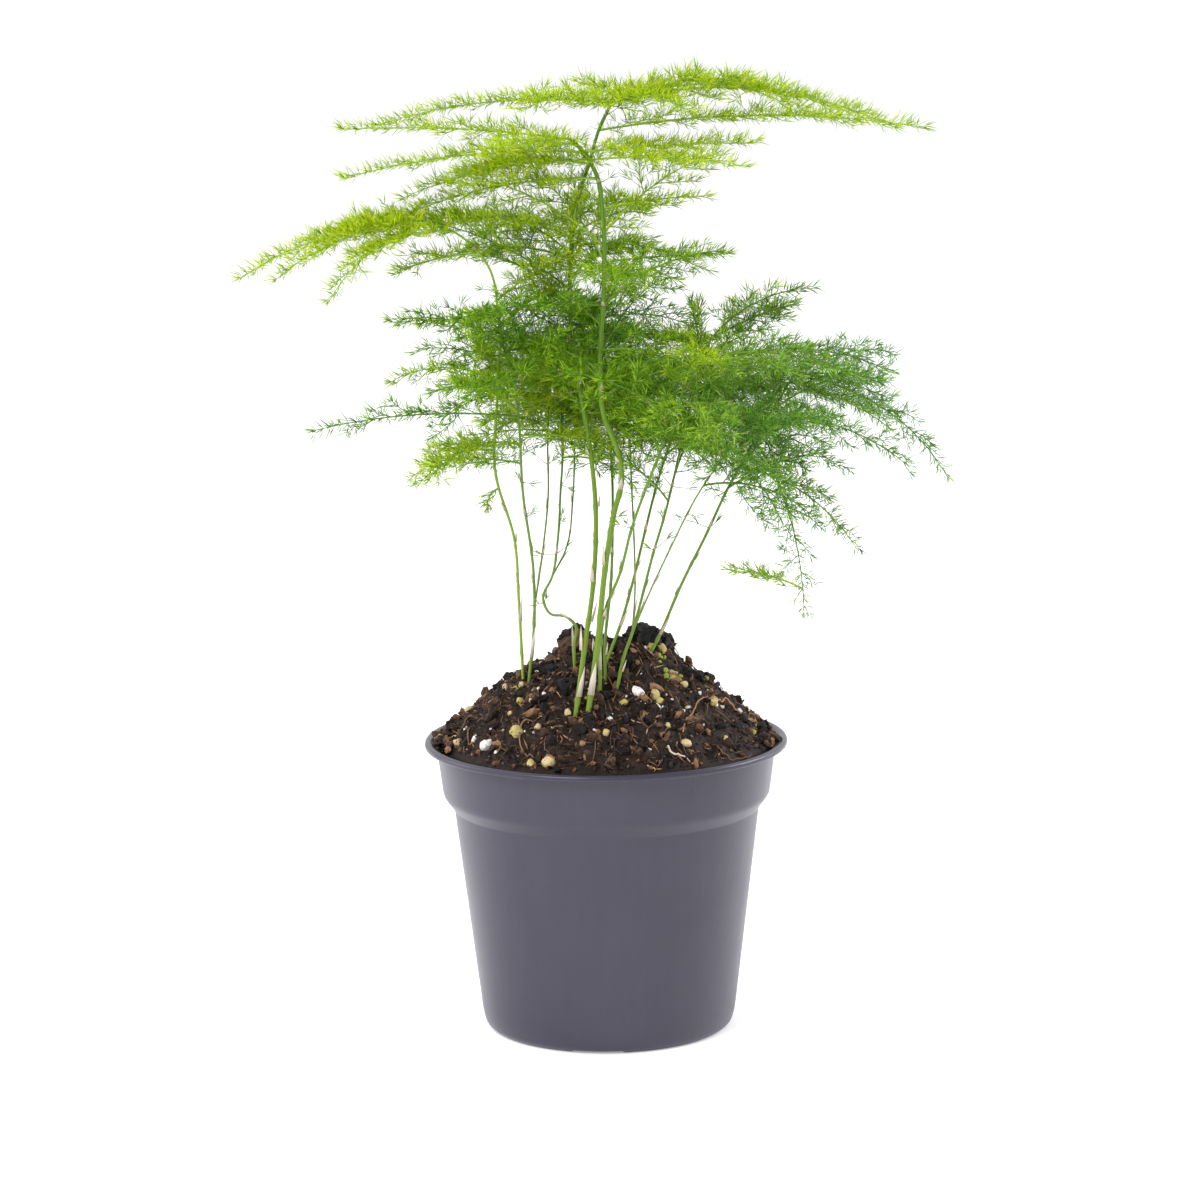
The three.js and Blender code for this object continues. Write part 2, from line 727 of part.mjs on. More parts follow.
// Every stem is placed first, then every midrib, branchlet and needle, so that each keeps clear of the others.
function growStems() {
  const stems = STEMS.map((stem) => ({ ...stem, solids: [], midribs: [], branchlets: [] }));
  for (const grow of [growRoutes, growMidribs, growBranchlets, growNeedles]) stems.forEach(grow);
  return stems;
}

const POT_GREY = { color: 0x5b5965, roughness: 0.55, metalness: 0 };
const SOIL_BROWN = { color: 0x2e211b, roughness: 0.95, metalness: 0 };
const YOUNG_GREEN = { color: 0x9cc62e, roughness: 0.55, metalness: 0 };
const MATURE_GREEN = { color: 0x4f8f2f, roughness: 0.55, metalness: 0 };

function addMesh(group, name, solid, finish) {
  const mesh = new THREE.Mesh(geometryOf(solid), new THREE.MeshStandardMaterial(finish));
  mesh.name = name;
  group.add(mesh);
}

const stems = growStems();
const fern = new THREE.Group();
addMesh(fern, "pot", makePot(), POT_GREY);
addMesh(fern, "soil", makeSoil(stems.map((stem) => stem.foot)), SOIL_BROWN);
for (const stem of stems) {
  addMesh(fern, stem.name, wasm.Manifold.union(stem.solids), stem.young ? YOUNG_GREEN : MATURE_GREEN);
}

export default fern;
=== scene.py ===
# %% [markdown]
# # An asparagus fern in a nursery pot
# The real plant is Asparagus setaceus. Its wiry stems carry flat sprays of thin green needles. It stands
# in a heap of peat soil in a grey plastic pot, 12 cm across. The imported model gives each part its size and
# place. This script gives each one its fine shape and its finish.

import bpy
import numpy as np
from mathutils import Matrix, Vector, noise


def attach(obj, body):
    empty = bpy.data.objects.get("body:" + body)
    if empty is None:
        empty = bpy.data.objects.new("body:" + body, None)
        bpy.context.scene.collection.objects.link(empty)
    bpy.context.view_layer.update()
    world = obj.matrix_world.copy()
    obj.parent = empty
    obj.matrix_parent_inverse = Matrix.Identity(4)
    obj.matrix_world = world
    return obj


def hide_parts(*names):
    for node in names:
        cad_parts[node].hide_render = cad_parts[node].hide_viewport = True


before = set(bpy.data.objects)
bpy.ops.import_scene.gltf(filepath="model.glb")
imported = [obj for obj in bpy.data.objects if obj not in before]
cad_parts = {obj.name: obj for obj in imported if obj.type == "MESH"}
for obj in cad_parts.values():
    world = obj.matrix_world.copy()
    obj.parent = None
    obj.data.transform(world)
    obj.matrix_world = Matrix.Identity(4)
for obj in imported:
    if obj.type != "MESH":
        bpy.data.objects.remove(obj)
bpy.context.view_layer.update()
print("packed parts:", sorted(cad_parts))

# %% [markdown]
# ## Small helpers
# All sizes below are in millimetres, as a maker would measure them, and become metres where a mesh is
# made. Colours are written as on a screen, in sRGB hex. Blender's shaders want linear light, so one
# function turns them. Meshes with many thousands of needles are made from arrays of numbers, because
# adding them one by one is slow.

# %% Units, colours and chance
MM = 0.001
UP = np.array([0.0, 0.0, 1.0])
GOLDEN = 0.6180339887
TINY = 1e-9
SEED = 11
chance = np.random.default_rng(SEED)
# Without a seed of its own, Blender's vector noise would differ from run to run.
noise.seed_set(SEED)


def linear(hex_colour, alpha=1.0):
    """An sRGB hex colour as linear red, green, blue and alpha."""
    parts = [int(hex_colour[i : i + 2], 16) / 255 for i in (1, 3, 5)]
    return tuple(p / 12.92 if p <= 0.04045 else ((p + 0.055) / 1.055) ** 2.4 for p in parts) + (alpha,)


# %% Directions
def unit(vectors):
    """Vectors made one unit long."""
    return vectors / np.maximum(np.linalg.norm(vectors, axis=-1, keepdims=True), TINY)


def sides_of(along):
    """Two directions square to each given one: the first lies level, the second points up."""
    side = np.cross(along, UP)
    steep = np.linalg.norm(side, axis=-1, keepdims=True) < 0.01
    side = unit(np.where(steep, np.array([0.0, 1.0, 0.0]), side))
    return side, np.cross(side, along)


def radians(degrees):
    return np.asarray(degrees) * np.pi / 180


def heading(turn, tilt):
    """Directions by their turn about the upright axis and their tilt above the level, in radians."""
    return np.stack([np.cos(turn) * np.cos(tilt), np.sin(turn) * np.cos(tilt), np.sin(tilt)], -1)


def around(along, turn):
    """Directions square to the given ones, each turned about its own."""
    side, over = sides_of(along)
    return side * np.cos(turn)[:, None] + over * np.sin(turn)[:, None]


# %% Meshes from arrays
def make_piece(name, vertices, faces, material, node, values=None, flat=None, smooth=True):
    """A mesh piece in millimetres that rides on the part's one body.

    values are numbers per vertex that the material reads, and flat is a map in the plane, per vertex.
    """
    mesh = bpy.data.meshes.new(name)
    faces = np.asarray(faces, np.int32)
    mesh.vertices.add(len(vertices))
    mesh.vertices.foreach_set("co", (np.asarray(vertices) * MM).astype(np.float32).ravel())
    mesh.loops.add(faces.size)
    mesh.loops.foreach_set("vertex_index", faces.ravel())
    mesh.polygons.add(len(faces))
    mesh.polygons.foreach_set("loop_start", np.arange(0, faces.size, faces.shape[1], dtype=np.int32))
    mesh.update(calc_edges=True)
    if smooth:
        mesh.shade_smooth()
    else:
        mesh.shade_flat()
    for key, numbers in (values or {}).items():
        attribute = mesh.attributes.new(key, "FLOAT", "POINT")
        attribute.data.foreach_set("value", np.asarray(numbers, np.float32))
    if flat is not None:
        layer = mesh.uv_layers.new(name="OFBake")
        layer.uv.foreach_set("vector", np.asarray(flat, np.float32)[faces.ravel()].ravel())
    mesh.materials.append(material)
    piece = bpy.data.objects.new(name, mesh)
    bpy.context.scene.collection.objects.link(piece)
    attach(piece, "root")
    if node:
        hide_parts(node)
    print(f"{name}: {len(vertices)} vertices, {len(faces)} faces")
    return piece


def joined(parts):
    """Several (vertices, faces) as one."""
    starts = np.cumsum([0] + [len(vertices) for vertices, _ in parts[:-1]])
    faces = np.concatenate([faces + start for (_, faces), start in zip(parts, starts)])
    return np.concatenate([vertices for vertices, _ in parts]), faces

def copies(faces, count, size):
    """One shape's faces, repeated for count shapes of size points each."""
    return (faces + (np.arange(count) * size)[:, None, None]).reshape(-1, 3)


# %% Tubes and spindles
def ring_faces(stations, sides):
    """Triangles over rings of points, closed by a point at the foot and one at the head."""
    k = np.arange(sides)
    after = (k + 1) % sides
    low = (np.arange(stations - 1) * sides)[:, None]
    a, b, c, d = low + k, low + after, low + sides + after, low + sides + k
    foot, last = np.full(sides, stations * sides), (stations - 1) * sides
    fans = [np.stack([foot, after, k], -1), np.stack([foot + 1, last + k, last + after], -1)]
    walls = [np.stack([a, b, c], -1).reshape(-1, 3), np.stack([a, c, d], -1).reshape(-1, 3)]
    return np.concatenate(walls + fans)


def tubes(paths, radii, sides):
    """Closed tubes along paths[tube, point], radii[tube, point] thick, as (vertices, faces)."""
    paths, radii = np.asarray(paths, float), np.asarray(radii, float)
    count, stations = radii.shape
    along = unit(np.gradient(paths, axis=1))
    hint = sides_of(unit(paths[:, -1:] - paths[:, :1]))[0]
    side = unit(hint - (hint * along).sum(-1, keepdims=True) * along)
    over = np.cross(along, side)
    turn = 2 * np.pi * np.arange(sides)[:, None] / sides
    out = side[:, :, None] * np.cos(turn) + over[:, :, None] * np.sin(turn)
    rings = paths[:, :, None] + radii[..., None, None] * out
    vertices = np.concatenate([rings.reshape(count, -1, 3), paths[:, :1], paths[:, -1:]], 1)
    return vertices.reshape(-1, 3), copies(ring_faces(stations, sides), count, vertices.shape[1])


WIDEST_AT = 0.4


def spindles(bases, ways, lengths, radii, bend):
    """Closed thin spindles, bent up a little, as (vertices, faces): foot point, ring of three, tip."""
    side, over = sides_of(ways)
    turn = 2 * np.pi * np.arange(3)[:, None] / 3
    ring = radii[:, None, None] * (side[:, None] * np.cos(turn) - over[:, None] * np.sin(turn))
    middle = bases + (WIDEST_AT * ways + bend[:, None] * over) * lengths[:, None]
    tips = bases + ways * lengths[:, None]
    vertices = np.concatenate([bases[:, None], middle[:, None] + ring, tips[:, None]], 1)
    faces = np.array([[0, 2, 1], [0, 3, 2], [0, 1, 3], [1, 2, 4], [2, 3, 4], [3, 1, 4]])
    return vertices.reshape(-1, 3), copies(faces, len(bases), 5)


def smooth_line(points, step):
    """A smooth line through given points, with a point about every step, and each one's place among them."""
    points = np.asarray(points, float)
    gaps = np.linalg.norm(np.diff(points, axis=0), axis=1)
    slopes = np.diff(points, axis=0) / gaps[:, None]
    speed = np.concatenate([slopes[:1], slopes[:-1], slopes[-1:]])[: len(points)]
    mixed = slopes[:-1] * gaps[1:, None] + slopes[1:] * gaps[:-1, None]
    speed[1:-1] = mixed / (gaps[1:] + gaps[:-1])[:, None]
    speed[-1] = slopes[-1]
    found, places = [], []
    for i, gap in enumerate(gaps):
        t = np.arange(0, 1, 1 / max(1, round(gap / step)))[:, None]
        near = (1 + 2 * t) * (1 - t) ** 2 * points[i] + t**2 * (3 - 2 * t) * points[i + 1]
        found.append(near + gap * (t * (1 - t) ** 2 * speed[i] - t**2 * (1 - t) * speed[i + 1]))
        places.append(i + t[:, 0])
    return np.concatenate(found + [points[-1:]]), np.concatenate(places + [[len(gaps)]])


# %% One function for every shader node
def add_node(tree, kind, inputs=None, stops=(), **settings):
    """Adds a node with its settings, its inputs and its ramp's colour stops.

    An input is a value, an sRGB hex colour, a node's output, or a node, which means its first output.
    """
    node = tree.nodes.new("ShaderNode" + kind)
    for key, value in settings.items():
        setattr(node, key, value)
    for number, (position, colour) in enumerate(stops):
        elements = node.color_ramp.elements
        element = elements[number] if number < len(elements) else elements.new(position)
        element.position = position
        element.color = linear(colour)
    for key, value in (inputs or {}).items():
        if isinstance(value, bpy.types.Node):
            value = value.outputs[0]
        if isinstance(value, bpy.types.NodeSocket):
            tree.links.new(value, node.inputs[key])
        else:
            node.inputs[key].default_value = linear(value) if isinstance(value, str) else value
    return node


def new_material(name):
    """An empty material and its node tree."""
    material = bpy.data.materials.new(name)
    material.use_nodes = True
    material.node_tree.nodes.clear()
    return material, material.node_tree


# %% [markdown]
# ## Camera and studio
# The photograph was taken from about 1.5 m away with a long lens, a little above the pot's rim, and turned
# by less than a degree. The floor is pale paper. Soft light comes from all round, as in a white studio,
# with one large lamp above the front left that models the leaves a little.

# %% Camera
CAMERA_AT = np.array([-1.43, -1467.37, 411.49])
LOOKS_DOWN, ROLL = 10.36, 0.7
LENS, SENSOR_WIDTH = 136.1, 36.0
NEAREST_SEEN, FARTHEST_SEEN = 0.05, 250.0


def make_camera():
    down, roll = radians(LOOKS_DOWN), radians(ROLL)
    level = np.array([1.0, 0.0, 0.0])
    ahead = np.array([0.0, np.cos(down), -np.sin(down)])
    upright = np.array([0.0, np.sin(down), np.cos(down)])
    right = np.cos(roll) * level - np.sin(roll) * upright
    top = np.sin(roll) * level + np.cos(roll) * upright
    data = bpy.data.cameras.new("camera")
    data.lens, data.sensor_width = LENS, SENSOR_WIDTH
    data.clip_start, data.clip_end = NEAREST_SEEN, FARTHEST_SEEN
    camera = bpy.data.objects.new("camera", data)
    aimed = Matrix(np.stack([right, top, -ahead], 1).tolist()).to_4x4()
    camera.matrix_world = Matrix.Translation((CAMERA_AT * MM).tolist()) @ aimed
    bpy.context.scene.collection.objects.link(camera)
    bpy.context.scene.camera = camera


make_camera()
print("camera", round(float(np.linalg.norm(CAMERA_AT)) * MM, 2), "m from the pot")

# %% Floor and light
FLOOR_HALF, GLOW_OF_PAPER = 56.0, 0.3
SKY_FRONT, SKY_BACK = 0.5, 1.15
# Each lamp: where it stands, its width, its power.
LAMPS = [((-0.9, -1.3, 1.5), 0.9, 30.0), ((1.5, 0.5, 0.9), 1.0, 21.0), ((-1.5, 0.4, 0.7), 1.0, 8.0)]
LAMPS_AIM, LAMP_TINT = (0.0, 0.0, 0.18), (0.97, 0.94, 1.0)


def make_floor():
    mesh = bpy.data.meshes.new("floor")
    corners = [(x * FLOOR_HALF, y * FLOOR_HALF, 0) for x, y in ((-1, -1), (1, -1), (1, 1), (-1, 1))]
    mesh.from_pydata(corners, [], [(0, 1, 2, 3)])
    material, tree = new_material("lit_white_paper")
    finish = {"Base Color": "#f6f6f7", "Roughness": 0.9, "Specular IOR Level": 0.2}
    glow = {"Emission Color": "#ffffff", "Emission Strength": GLOW_OF_PAPER}
    add_node(tree, "OutputMaterial", {"Surface": add_node(tree, "BsdfPrincipled", finish | glow)})
    mesh.materials.append(material)
    floor = bpy.data.objects.new("floor", mesh)
    bpy.context.scene.collection.objects.link(floor)


def make_light():
    """A studio that is white behind the plant and dimmer behind the camera, and lamps."""
    world = bpy.data.worlds.new("studio")
    world.use_nodes = True
    tree = world.node_tree
    tree.nodes.clear()
    parts = add_node(tree, "SeparateXYZ", {0: add_node(tree, "TexCoord").outputs["Generated"]})
    span = {"From Min": -0.6, "From Max": 0.8, "To Min": SKY_FRONT, "To Max": SKY_BACK}
    bright = add_node(tree, "MapRange", {"Value": parts.outputs["Y"]} | span)
    sky = add_node(tree, "Background", {"Color": "#fdfdff", "Strength": bright})
    add_node(tree, "OutputWorld", {"Surface": sky})
    bpy.context.scene.world = world
    for number, (place, width, power) in enumerate(LAMPS):
        data = bpy.data.lights.new(f"lamp_{number}", "AREA")
        data.energy, data.size, data.color = power, width, LAMP_TINT
        lamp = bpy.data.objects.new(f"lamp_{number}", data)
        aim = Vector(LAMPS_AIM) - Vector(place)
        lamp.matrix_world = Matrix.Translation(place) @ aim.to_track_quat("-Z", "Y").to_matrix().to_4x4()
        bpy.context.scene.collection.objects.link(lamp)
    bpy.context.scene.view_settings.view_transform = "Standard"


make_floor()
make_light()
print("floor", 2 * FLOOR_HALF, "m wide, lamps", len(LAMPS))

# %% [markdown]
# ## The pot
# A nursery pot is blown or moulded from recycled polypropylene: a thin wall, a wider band at the top, a
# lip to lift it by, and a foot ring with notches that let water out. It could be modelled from a cylinder
# with edge loops, but every line of it is round, so one half outline turned about the axis is shorter and
# truer. Corners get small arcs in the outline, so that light catches them as on the real mould.

# %% Pot: outline and turning
POT_HEIGHT, WALL, POT_SIDES = 97.0, 1.2, 180
LIP_RADIUS, UNDER_LIP = 60.0, POT_HEIGHT - 2.1
BAND_TOP, BAND_FOOT, BAND_FOOT_Z = 56.0, 54.0, 79.5
SHOULDER_Z, SHOULDER_FOOT_Z = 78.8, 74.2
STEP_RADIUS, STEP_Z, HEEL_RADIUS, HEEL_Z = 50.2, 72.0, 42.0, 5.0
FOOT_RADIUS, FOOT_RING, FLOOR_UNDER, FLOOR_TOP = 39.0, 4.0, 2.2, 3.6
ARC_PIECES, HOLD = 4, 0.5
# Each corner of the outline: radius, height, and the radius of its arc.
POT_OUTLINE = [
    (0, FLOOR_UNDER, 0),
    (FOOT_RADIUS - FOOT_RING, FLOOR_UNDER, 0.5),
    (FOOT_RADIUS - FOOT_RING + 0.8, 0, 0.3),
    (FOOT_RADIUS, 0, 0.5),
    (FOOT_RADIUS + 2, 1.5, 1.2),
    (HEEL_RADIUS, HEEL_Z, 3.0),
    (STEP_RADIUS, STEP_Z, 1.0),
    (STEP_RADIUS + 0.25, SHOULDER_FOOT_Z, 0.3),
    (BAND_FOOT, SHOULDER_Z, 1.4),
    (BAND_TOP, UNDER_LIP - 0.7, 0.5),
    (LIP_RADIUS - 0.9, UNDER_LIP - 0.2, 0.4),
    (LIP_RADIUS, UNDER_LIP + 0.3, 0.4),
    (LIP_RADIUS - 0.2, POT_HEIGHT - 0.5, 0.4),
    (LIP_RADIUS - 1.1, POT_HEIGHT, 0.5),
    (LIP_RADIUS - 2.2, POT_HEIGHT - 0.2, 0.4),
    (BAND_TOP - WALL + 1.6, POT_HEIGHT - 1.1, 0.5),
    (BAND_TOP - WALL, POT_HEIGHT - 3.0, 0.8),
    (BAND_FOOT - WALL, BAND_FOOT_Z + 0.4, 1.5),
    (STEP_RADIUS - WALL, STEP_Z + 0.4, 1.5),
    (HEEL_RADIUS - WALL, HEEL_Z + 0.6, 1.2),
    (HEEL_RADIUS - WALL - 1.6, FLOOR_TOP, 0.6),
    (0, FLOOR_TOP, 0),
]


def rounded(outline):
    """The outline's corners as arcs, each a quadratic curve between points its radius away.

    A point a little further out on either side keeps the shading of the long flat parts flat.
    """
    corners = np.array([corner[:2] for corner in outline], float)
    found = [corners[0]]
    for i in range(1, len(corners) - 1):
        before, here, after = corners[i - 1 : i + 2]
        size = outline[i][2]
        near, far = np.linalg.norm(before - here), np.linalg.norm(after - here)
        back, onward = unit(before - here), unit(after - here)
        start, end = here + back * min(size, near * 0.4), here + onward * min(size, far * 0.4)
        found.append(here + back * min(size + HOLD, near * 0.47))
        for t in np.linspace(0, 1, ARC_PIECES + 1):
            found.append((1 - t) ** 2 * start + 2 * t * (1 - t) * here + t**2 * end)
        found.append(here + onward * min(size + HOLD, far * 0.47))
    return np.array(found + [corners[-1]])


def turned(outline, sides):
    """An outline that starts and ends on the axis, turned about it, as (vertices, faces)."""
    inner = outline[1:-1]
    turn = 2 * np.pi * np.arange(sides) / sides
    across, high = inner[:, :1], np.repeat(inner[:, 1:], sides, 1)
    rings = np.stack([across * np.cos(turn), across * np.sin(turn), high], -1)
    ends = np.array([[0, 0, outline[0][1]], [0, 0, outline[-1][1]]])
    return np.concatenate([rings.reshape(-1, 3), ends]), ring_faces(len(inner), sides)


# %% [markdown]
# The plastic is matt, dark grey with a touch of violet, and sparkles faintly where grains of chalk filler
# lie near the surface. The mould leaves faint upright streaks.

# %% Pot: moulded polypropylene
def polypropylene():
    """Moulded polypropylene: a soft broad shine, faint upright streaks, and pale filler specks."""
    material, tree = new_material("moulded_polypropylene")
    place = add_node(tree, "TexCoord").outputs["Object"]
    upright = add_node(tree, "Mapping", {"Vector": place, "Scale": (1.0, 1.0, 0.06)})
    # Streaks about 4 mm apart, drawn out along the height.
    streaks = add_node(tree, "TexNoise", {"Vector": upright, "Scale": 240.0, "Detail": 4.0, "Roughness": 0.6})
    clouds = add_node(tree, "TexNoise", {"Vector": place, "Scale": 38.0, "Detail": 5.0})
    tone = add_node(tree, "Math", {0: streaks, 1: 0.45}, operation="MULTIPLY")
    tone = add_node(tree, "Math", {0: clouds, 1: 0.55, 2: tone}, operation="MULTIPLY_ADD")
    grey = add_node(tree, "ValToRGB", {"Fac": tone}, [(0.3, "#34323f"), (0.5, "#373543"), (0.72, "#3d3a48")])
    # Filler specks are 0.1 mm; they are drawn 0.3 mm wide so that the render shows them.
    cells = add_node(tree, "TexVoronoi", {"Vector": place, "Scale": 210.0}, feature="F1")
    picked = add_node(tree, "Math", {0: cells.outputs["Color"], 1: 0.955}, operation="GREATER_THAN")
    near = add_node(tree, "Math", {0: cells.outputs["Distance"], 1: 0.075}, operation="LESS_THAN")
    speck = add_node(tree, "Math", {0: picked, 1: near}, operation="MULTIPLY")
    dusted = add_node(tree, "Mix", {0: speck, 6: grey, 7: "#a8a5b3"}, data_type="RGBA")
    span = {"From Min": 0.3, "From Max": 0.7, "To Min": 0.27, "To Max": 0.38}
    rough = add_node(tree, "MapRange", {"Value": tone} | span)
    fine = add_node(tree, "TexNoise", {"Vector": place, "Scale": 900.0, "Detail": 3.0})
    bump = add_node(tree, "Bump", {"Height": fine, "Strength": 0.12, "Distance": 0.0002})
    finish = {"Base Color": dusted.outputs[2], "Roughness": rough, "Normal": bump, "IOR": 1.49}
    add_node(tree, "OutputMaterial", {"Surface": add_node(tree, "BsdfPrincipled", finish)})
    return material


# %% [markdown]
# The real holes are left by pins in the mould, and the notches by steps in its parting face. Here bars and
# rods are cut away with one boolean, which is the quickest way to a clean edge in a wall that is already
# turned.

# %% Pot: drain holes and notches
DRAIN_HOLES, DRAIN_RADIUS, DRAIN_CIRCLE, DRAIN_SIDES = 6, 1.9, 27.0, 24
NOTCHES, NOTCH_WIDTH, NOTCH_HEIGHT, NOTCH_TURN = 4, 16.0, 0.8, -0.1
# A notch is cut by a flat-topped bar with sloping ends: its section, in widths and heights, and its faces.
BAR_SECTION = [(-0.62, -1), (0.62, -1), (0.5, 1), (-0.5, 1)]
BAR_PAST_RING = 6.0
BAR_FACES = [
    (0, 1, 5), (0, 5, 4), (1, 2, 6), (1, 6, 5), (2, 3, 7), (2, 7, 6), (3, 0, 4), (3, 4, 7),
    (0, 3, 2), (0, 2, 1), (4, 5, 6), (4, 6, 7),
]
SHARP_FROM = 38.0


def make_pot():
    vertices, faces = turned(rounded(POT_OUTLINE), POT_SIDES)
    pot = make_piece("moulded_pot", vertices, faces, polypropylene(), "pot")
    cutters = []
    for i in range(DRAIN_HOLES):
        middle = DRAIN_CIRCLE * heading(2 * np.pi * (i + 0.5) / DRAIN_HOLES, 0.0)
        rod = [[middle - UP, middle + UP * (FLOOR_TOP + 1)]]
        cutters.append(tubes(rod, [[DRAIN_RADIUS] * 2], DRAIN_SIDES))
    for i in range(NOTCHES):
        out = heading(2 * np.pi * i / NOTCHES + NOTCH_TURN, 0.0)
        section = [s * NOTCH_WIDTH * np.cross(UP, out) + h * NOTCH_HEIGHT * UP for s, h in BAR_SECTION]
        reaches = (FOOT_RADIUS - FOOT_RING - BAR_PAST_RING, FOOT_RADIUS + BAR_PAST_RING)
        corners = [reach * out + corner for reach in reaches for corner in section]
        cutters.append((np.array(corners), np.array(BAR_FACES)))
    vertices, faces = joined(cutters)
    mesh = bpy.data.meshes.new("pot_cutters")
    mesh.from_pydata((vertices * MM).tolist(), [], faces.tolist())
    cutter = bpy.data.objects.new("pot_cutters", mesh)
    bpy.context.scene.collection.objects.link(cutter)
    cut = pot.modifiers.new("holes", "BOOLEAN")
    cut.operation, cut.solver, cut.object = "DIFFERENCE", "EXACT", cutter
    made = bpy.data.meshes.new_from_object(pot.evaluated_get(bpy.context.evaluated_depsgraph_get()))
    pot.modifiers.clear()
    pot.data = made
    bpy.data.objects.remove(cutter)
    made.shade_smooth()
    made.set_sharp_from_angle(angle=float(radians(SHARP_FROM)))
    print("pot with holes:", len(made.polygons), "faces")


make_pot()

# %% [markdown]
# ## The soil
# Peat soil is crumbs, bark, fibres and white perlite, heaped up because the plant came from a smaller pot.
# A displaced surface alone looks like mud, so the heap is a rough mesh, and crumbs of every size lie half
# sunk in it as meshes of their own. The heap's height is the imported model's rule: a mound, and the old
# plug on top of it.

# %% Soil: the heap's height
GAP = 0.4
MOUND_RADIUS, MOUND_HEIGHT, MOUND_EDGE_DROP, MOUND_POWER = 54.2, 26.0, 1.5, 2.3
PLUG_CENTRE, PLUG_RADIUS, PLUG_HEIGHT, PLUG_POWER = (4.5, 3.0), 19.0, 9.0, 8
SPLIT_DEPTH, SPLIT_AT, SPLIT_HALF = 6.5, 1.5, 6.5
SMOOTH_EDGE = 3.0


def packed_height(x, y):
    """The packed soil's surface: the mound, the plug and small lumps. The stems' feet are placed on it."""
    r = np.minimum(np.hypot(x, y), MOUND_RADIUS)
    mound = (MOUND_HEIGHT + MOUND_EDGE_DROP) * (1 - (r / MOUND_RADIUS) ** MOUND_POWER) - MOUND_EDGE_DROP
    from_plug = np.hypot(x - PLUG_CENTRE[0], y - PLUG_CENTRE[1]) / PLUG_RADIUS
    smooth = POT_HEIGHT + mound + PLUG_HEIGHT / (1 + from_plug**PLUG_POWER)
    small = 0.8 * np.sin(0.55 * x + 1.3) * np.sin(0.6 * y + 0.4) + 0.5 * np.sin(1.05 * x - 0.9 * y)
    return smooth + small * np.minimum(1, (MOUND_RADIUS - r) / 6)


def relief(x, y):
    """The split in the old plug, clods a few millimetres across, and crumbs on them, as a height."""
    split = SPLIT_DEPTH * np.exp(-(((x - SPLIT_AT) / SPLIT_HALF) ** 4) - (((y - PLUG_CENTRE[1]) / 19) ** 6))
    clods = noise.fractal((x * 0.16, y * 0.16, 3.1), 1.0, 2.0, 4)
    crumbs = noise.noise((x * 0.7, y * 0.7, 9.2)) + 0.8 * noise.noise((x * 1.5, y * 1.5, 1.7))
    pits = min(0.0, noise.noise((x * 0.4, y * 0.4, 5.5)) + 0.1)
    return 1.6 * clods + 0.9 * crumbs + 2.2 * pits - float(split)


def on_heap(x, y):
    """Points on the rough heap. Its relief fades out towards the edge."""
    fade = [min(1.0, (MOUND_RADIUS - np.hypot(a, b)) / SMOOTH_EDGE) for a, b in zip(x, y)]
    heights = [float(packed_height(a, b)) + relief(a, b) * part for a, b, part in zip(x, y, fade)]
    return np.column_stack([x, y, heights])


# %% Soil: the heap
SOIL_CELLS = 128


def disc_point(u, v):
    """A point of the square from -1 to 1 moved to the disc of radius 1, with even cells."""
    big, small = (u, v) if abs(u) > abs(v) else (v, u)
    if big == 0:
        return 0.0, 0.0
    turn = np.pi / 4 * small / big
    near, far = big * np.cos(turn), big * np.sin(turn)
    return (near, far) if abs(u) > abs(v) else (far, near)


def heap_mesh():
    """The heap down to the pot's floor, as one closed mesh."""
    n = SOIL_CELLS
    steps = np.linspace(-1, 1, n + 1)
    vertices = on_heap(*(MOUND_RADIUS * np.array([disc_point(u, v) for v in steps for u in steps])).T)
    i = np.arange(n)
    a = (i[:, None] * (n + 1) + i).ravel()
    b, c, d = a + 1, a + n + 2, a + n + 1
    faces = [np.stack([a, b, c], -1), np.stack([a, c, d], -1)]
    border = [*range(n), *[k * (n + 1) + n for k in range(n)]]
    border += [n * (n + 1) + n - k for k in range(n)] + [(n - k) * (n + 1) for k in range(n)]
    rim, ring = vertices[border], np.array(border)
    # Inside the pot it follows the wall, with a gap, through these radii and heights.
    levels = [
        (BAND_FOOT - WALL - GAP, BAND_FOOT_Z + 0.7),
        (STEP_RADIUS - WALL - GAP, STEP_Z + 0.1),
        (HEEL_RADIUS - 0.1 - WALL - GAP, HEEL_Z + 1.2),
        (HEEL_RADIUS - WALL - 1.6 - GAP, FLOOR_TOP + GAP),
    ]
    for radius, z in levels:
        lower = np.column_stack([unit(rim[:, :2]) * radius, np.full(len(rim), z)])
        below = np.arange(len(rim)) + len(vertices)
        vertices = np.concatenate([vertices, lower])
        after, below_after = np.roll(ring, -1), np.roll(below, -1)
        faces += [np.stack([ring, below, below_after], -1), np.stack([ring, below_after, after], -1)]
        ring = below
    middle = np.full(len(ring), len(vertices))
    vertices = np.concatenate([vertices, [[0, 0, levels[-1][1]]]])
    faces.append(np.stack([middle, np.roll(ring, -1), ring], -1))
    return vertices, np.concatenate(faces)


# %% [markdown]
# Peat is nearly black when damp and chocolate brown where its fibres have dried, so the heap and its
# crumbs mix both. Everything in the soil is coloured in one way: each vertex carries a shade, grains of
# noise are added to it, and the sum picks a colour. That keeps peat, bark, perlite, feed and roots alike
# in build and apart in look.

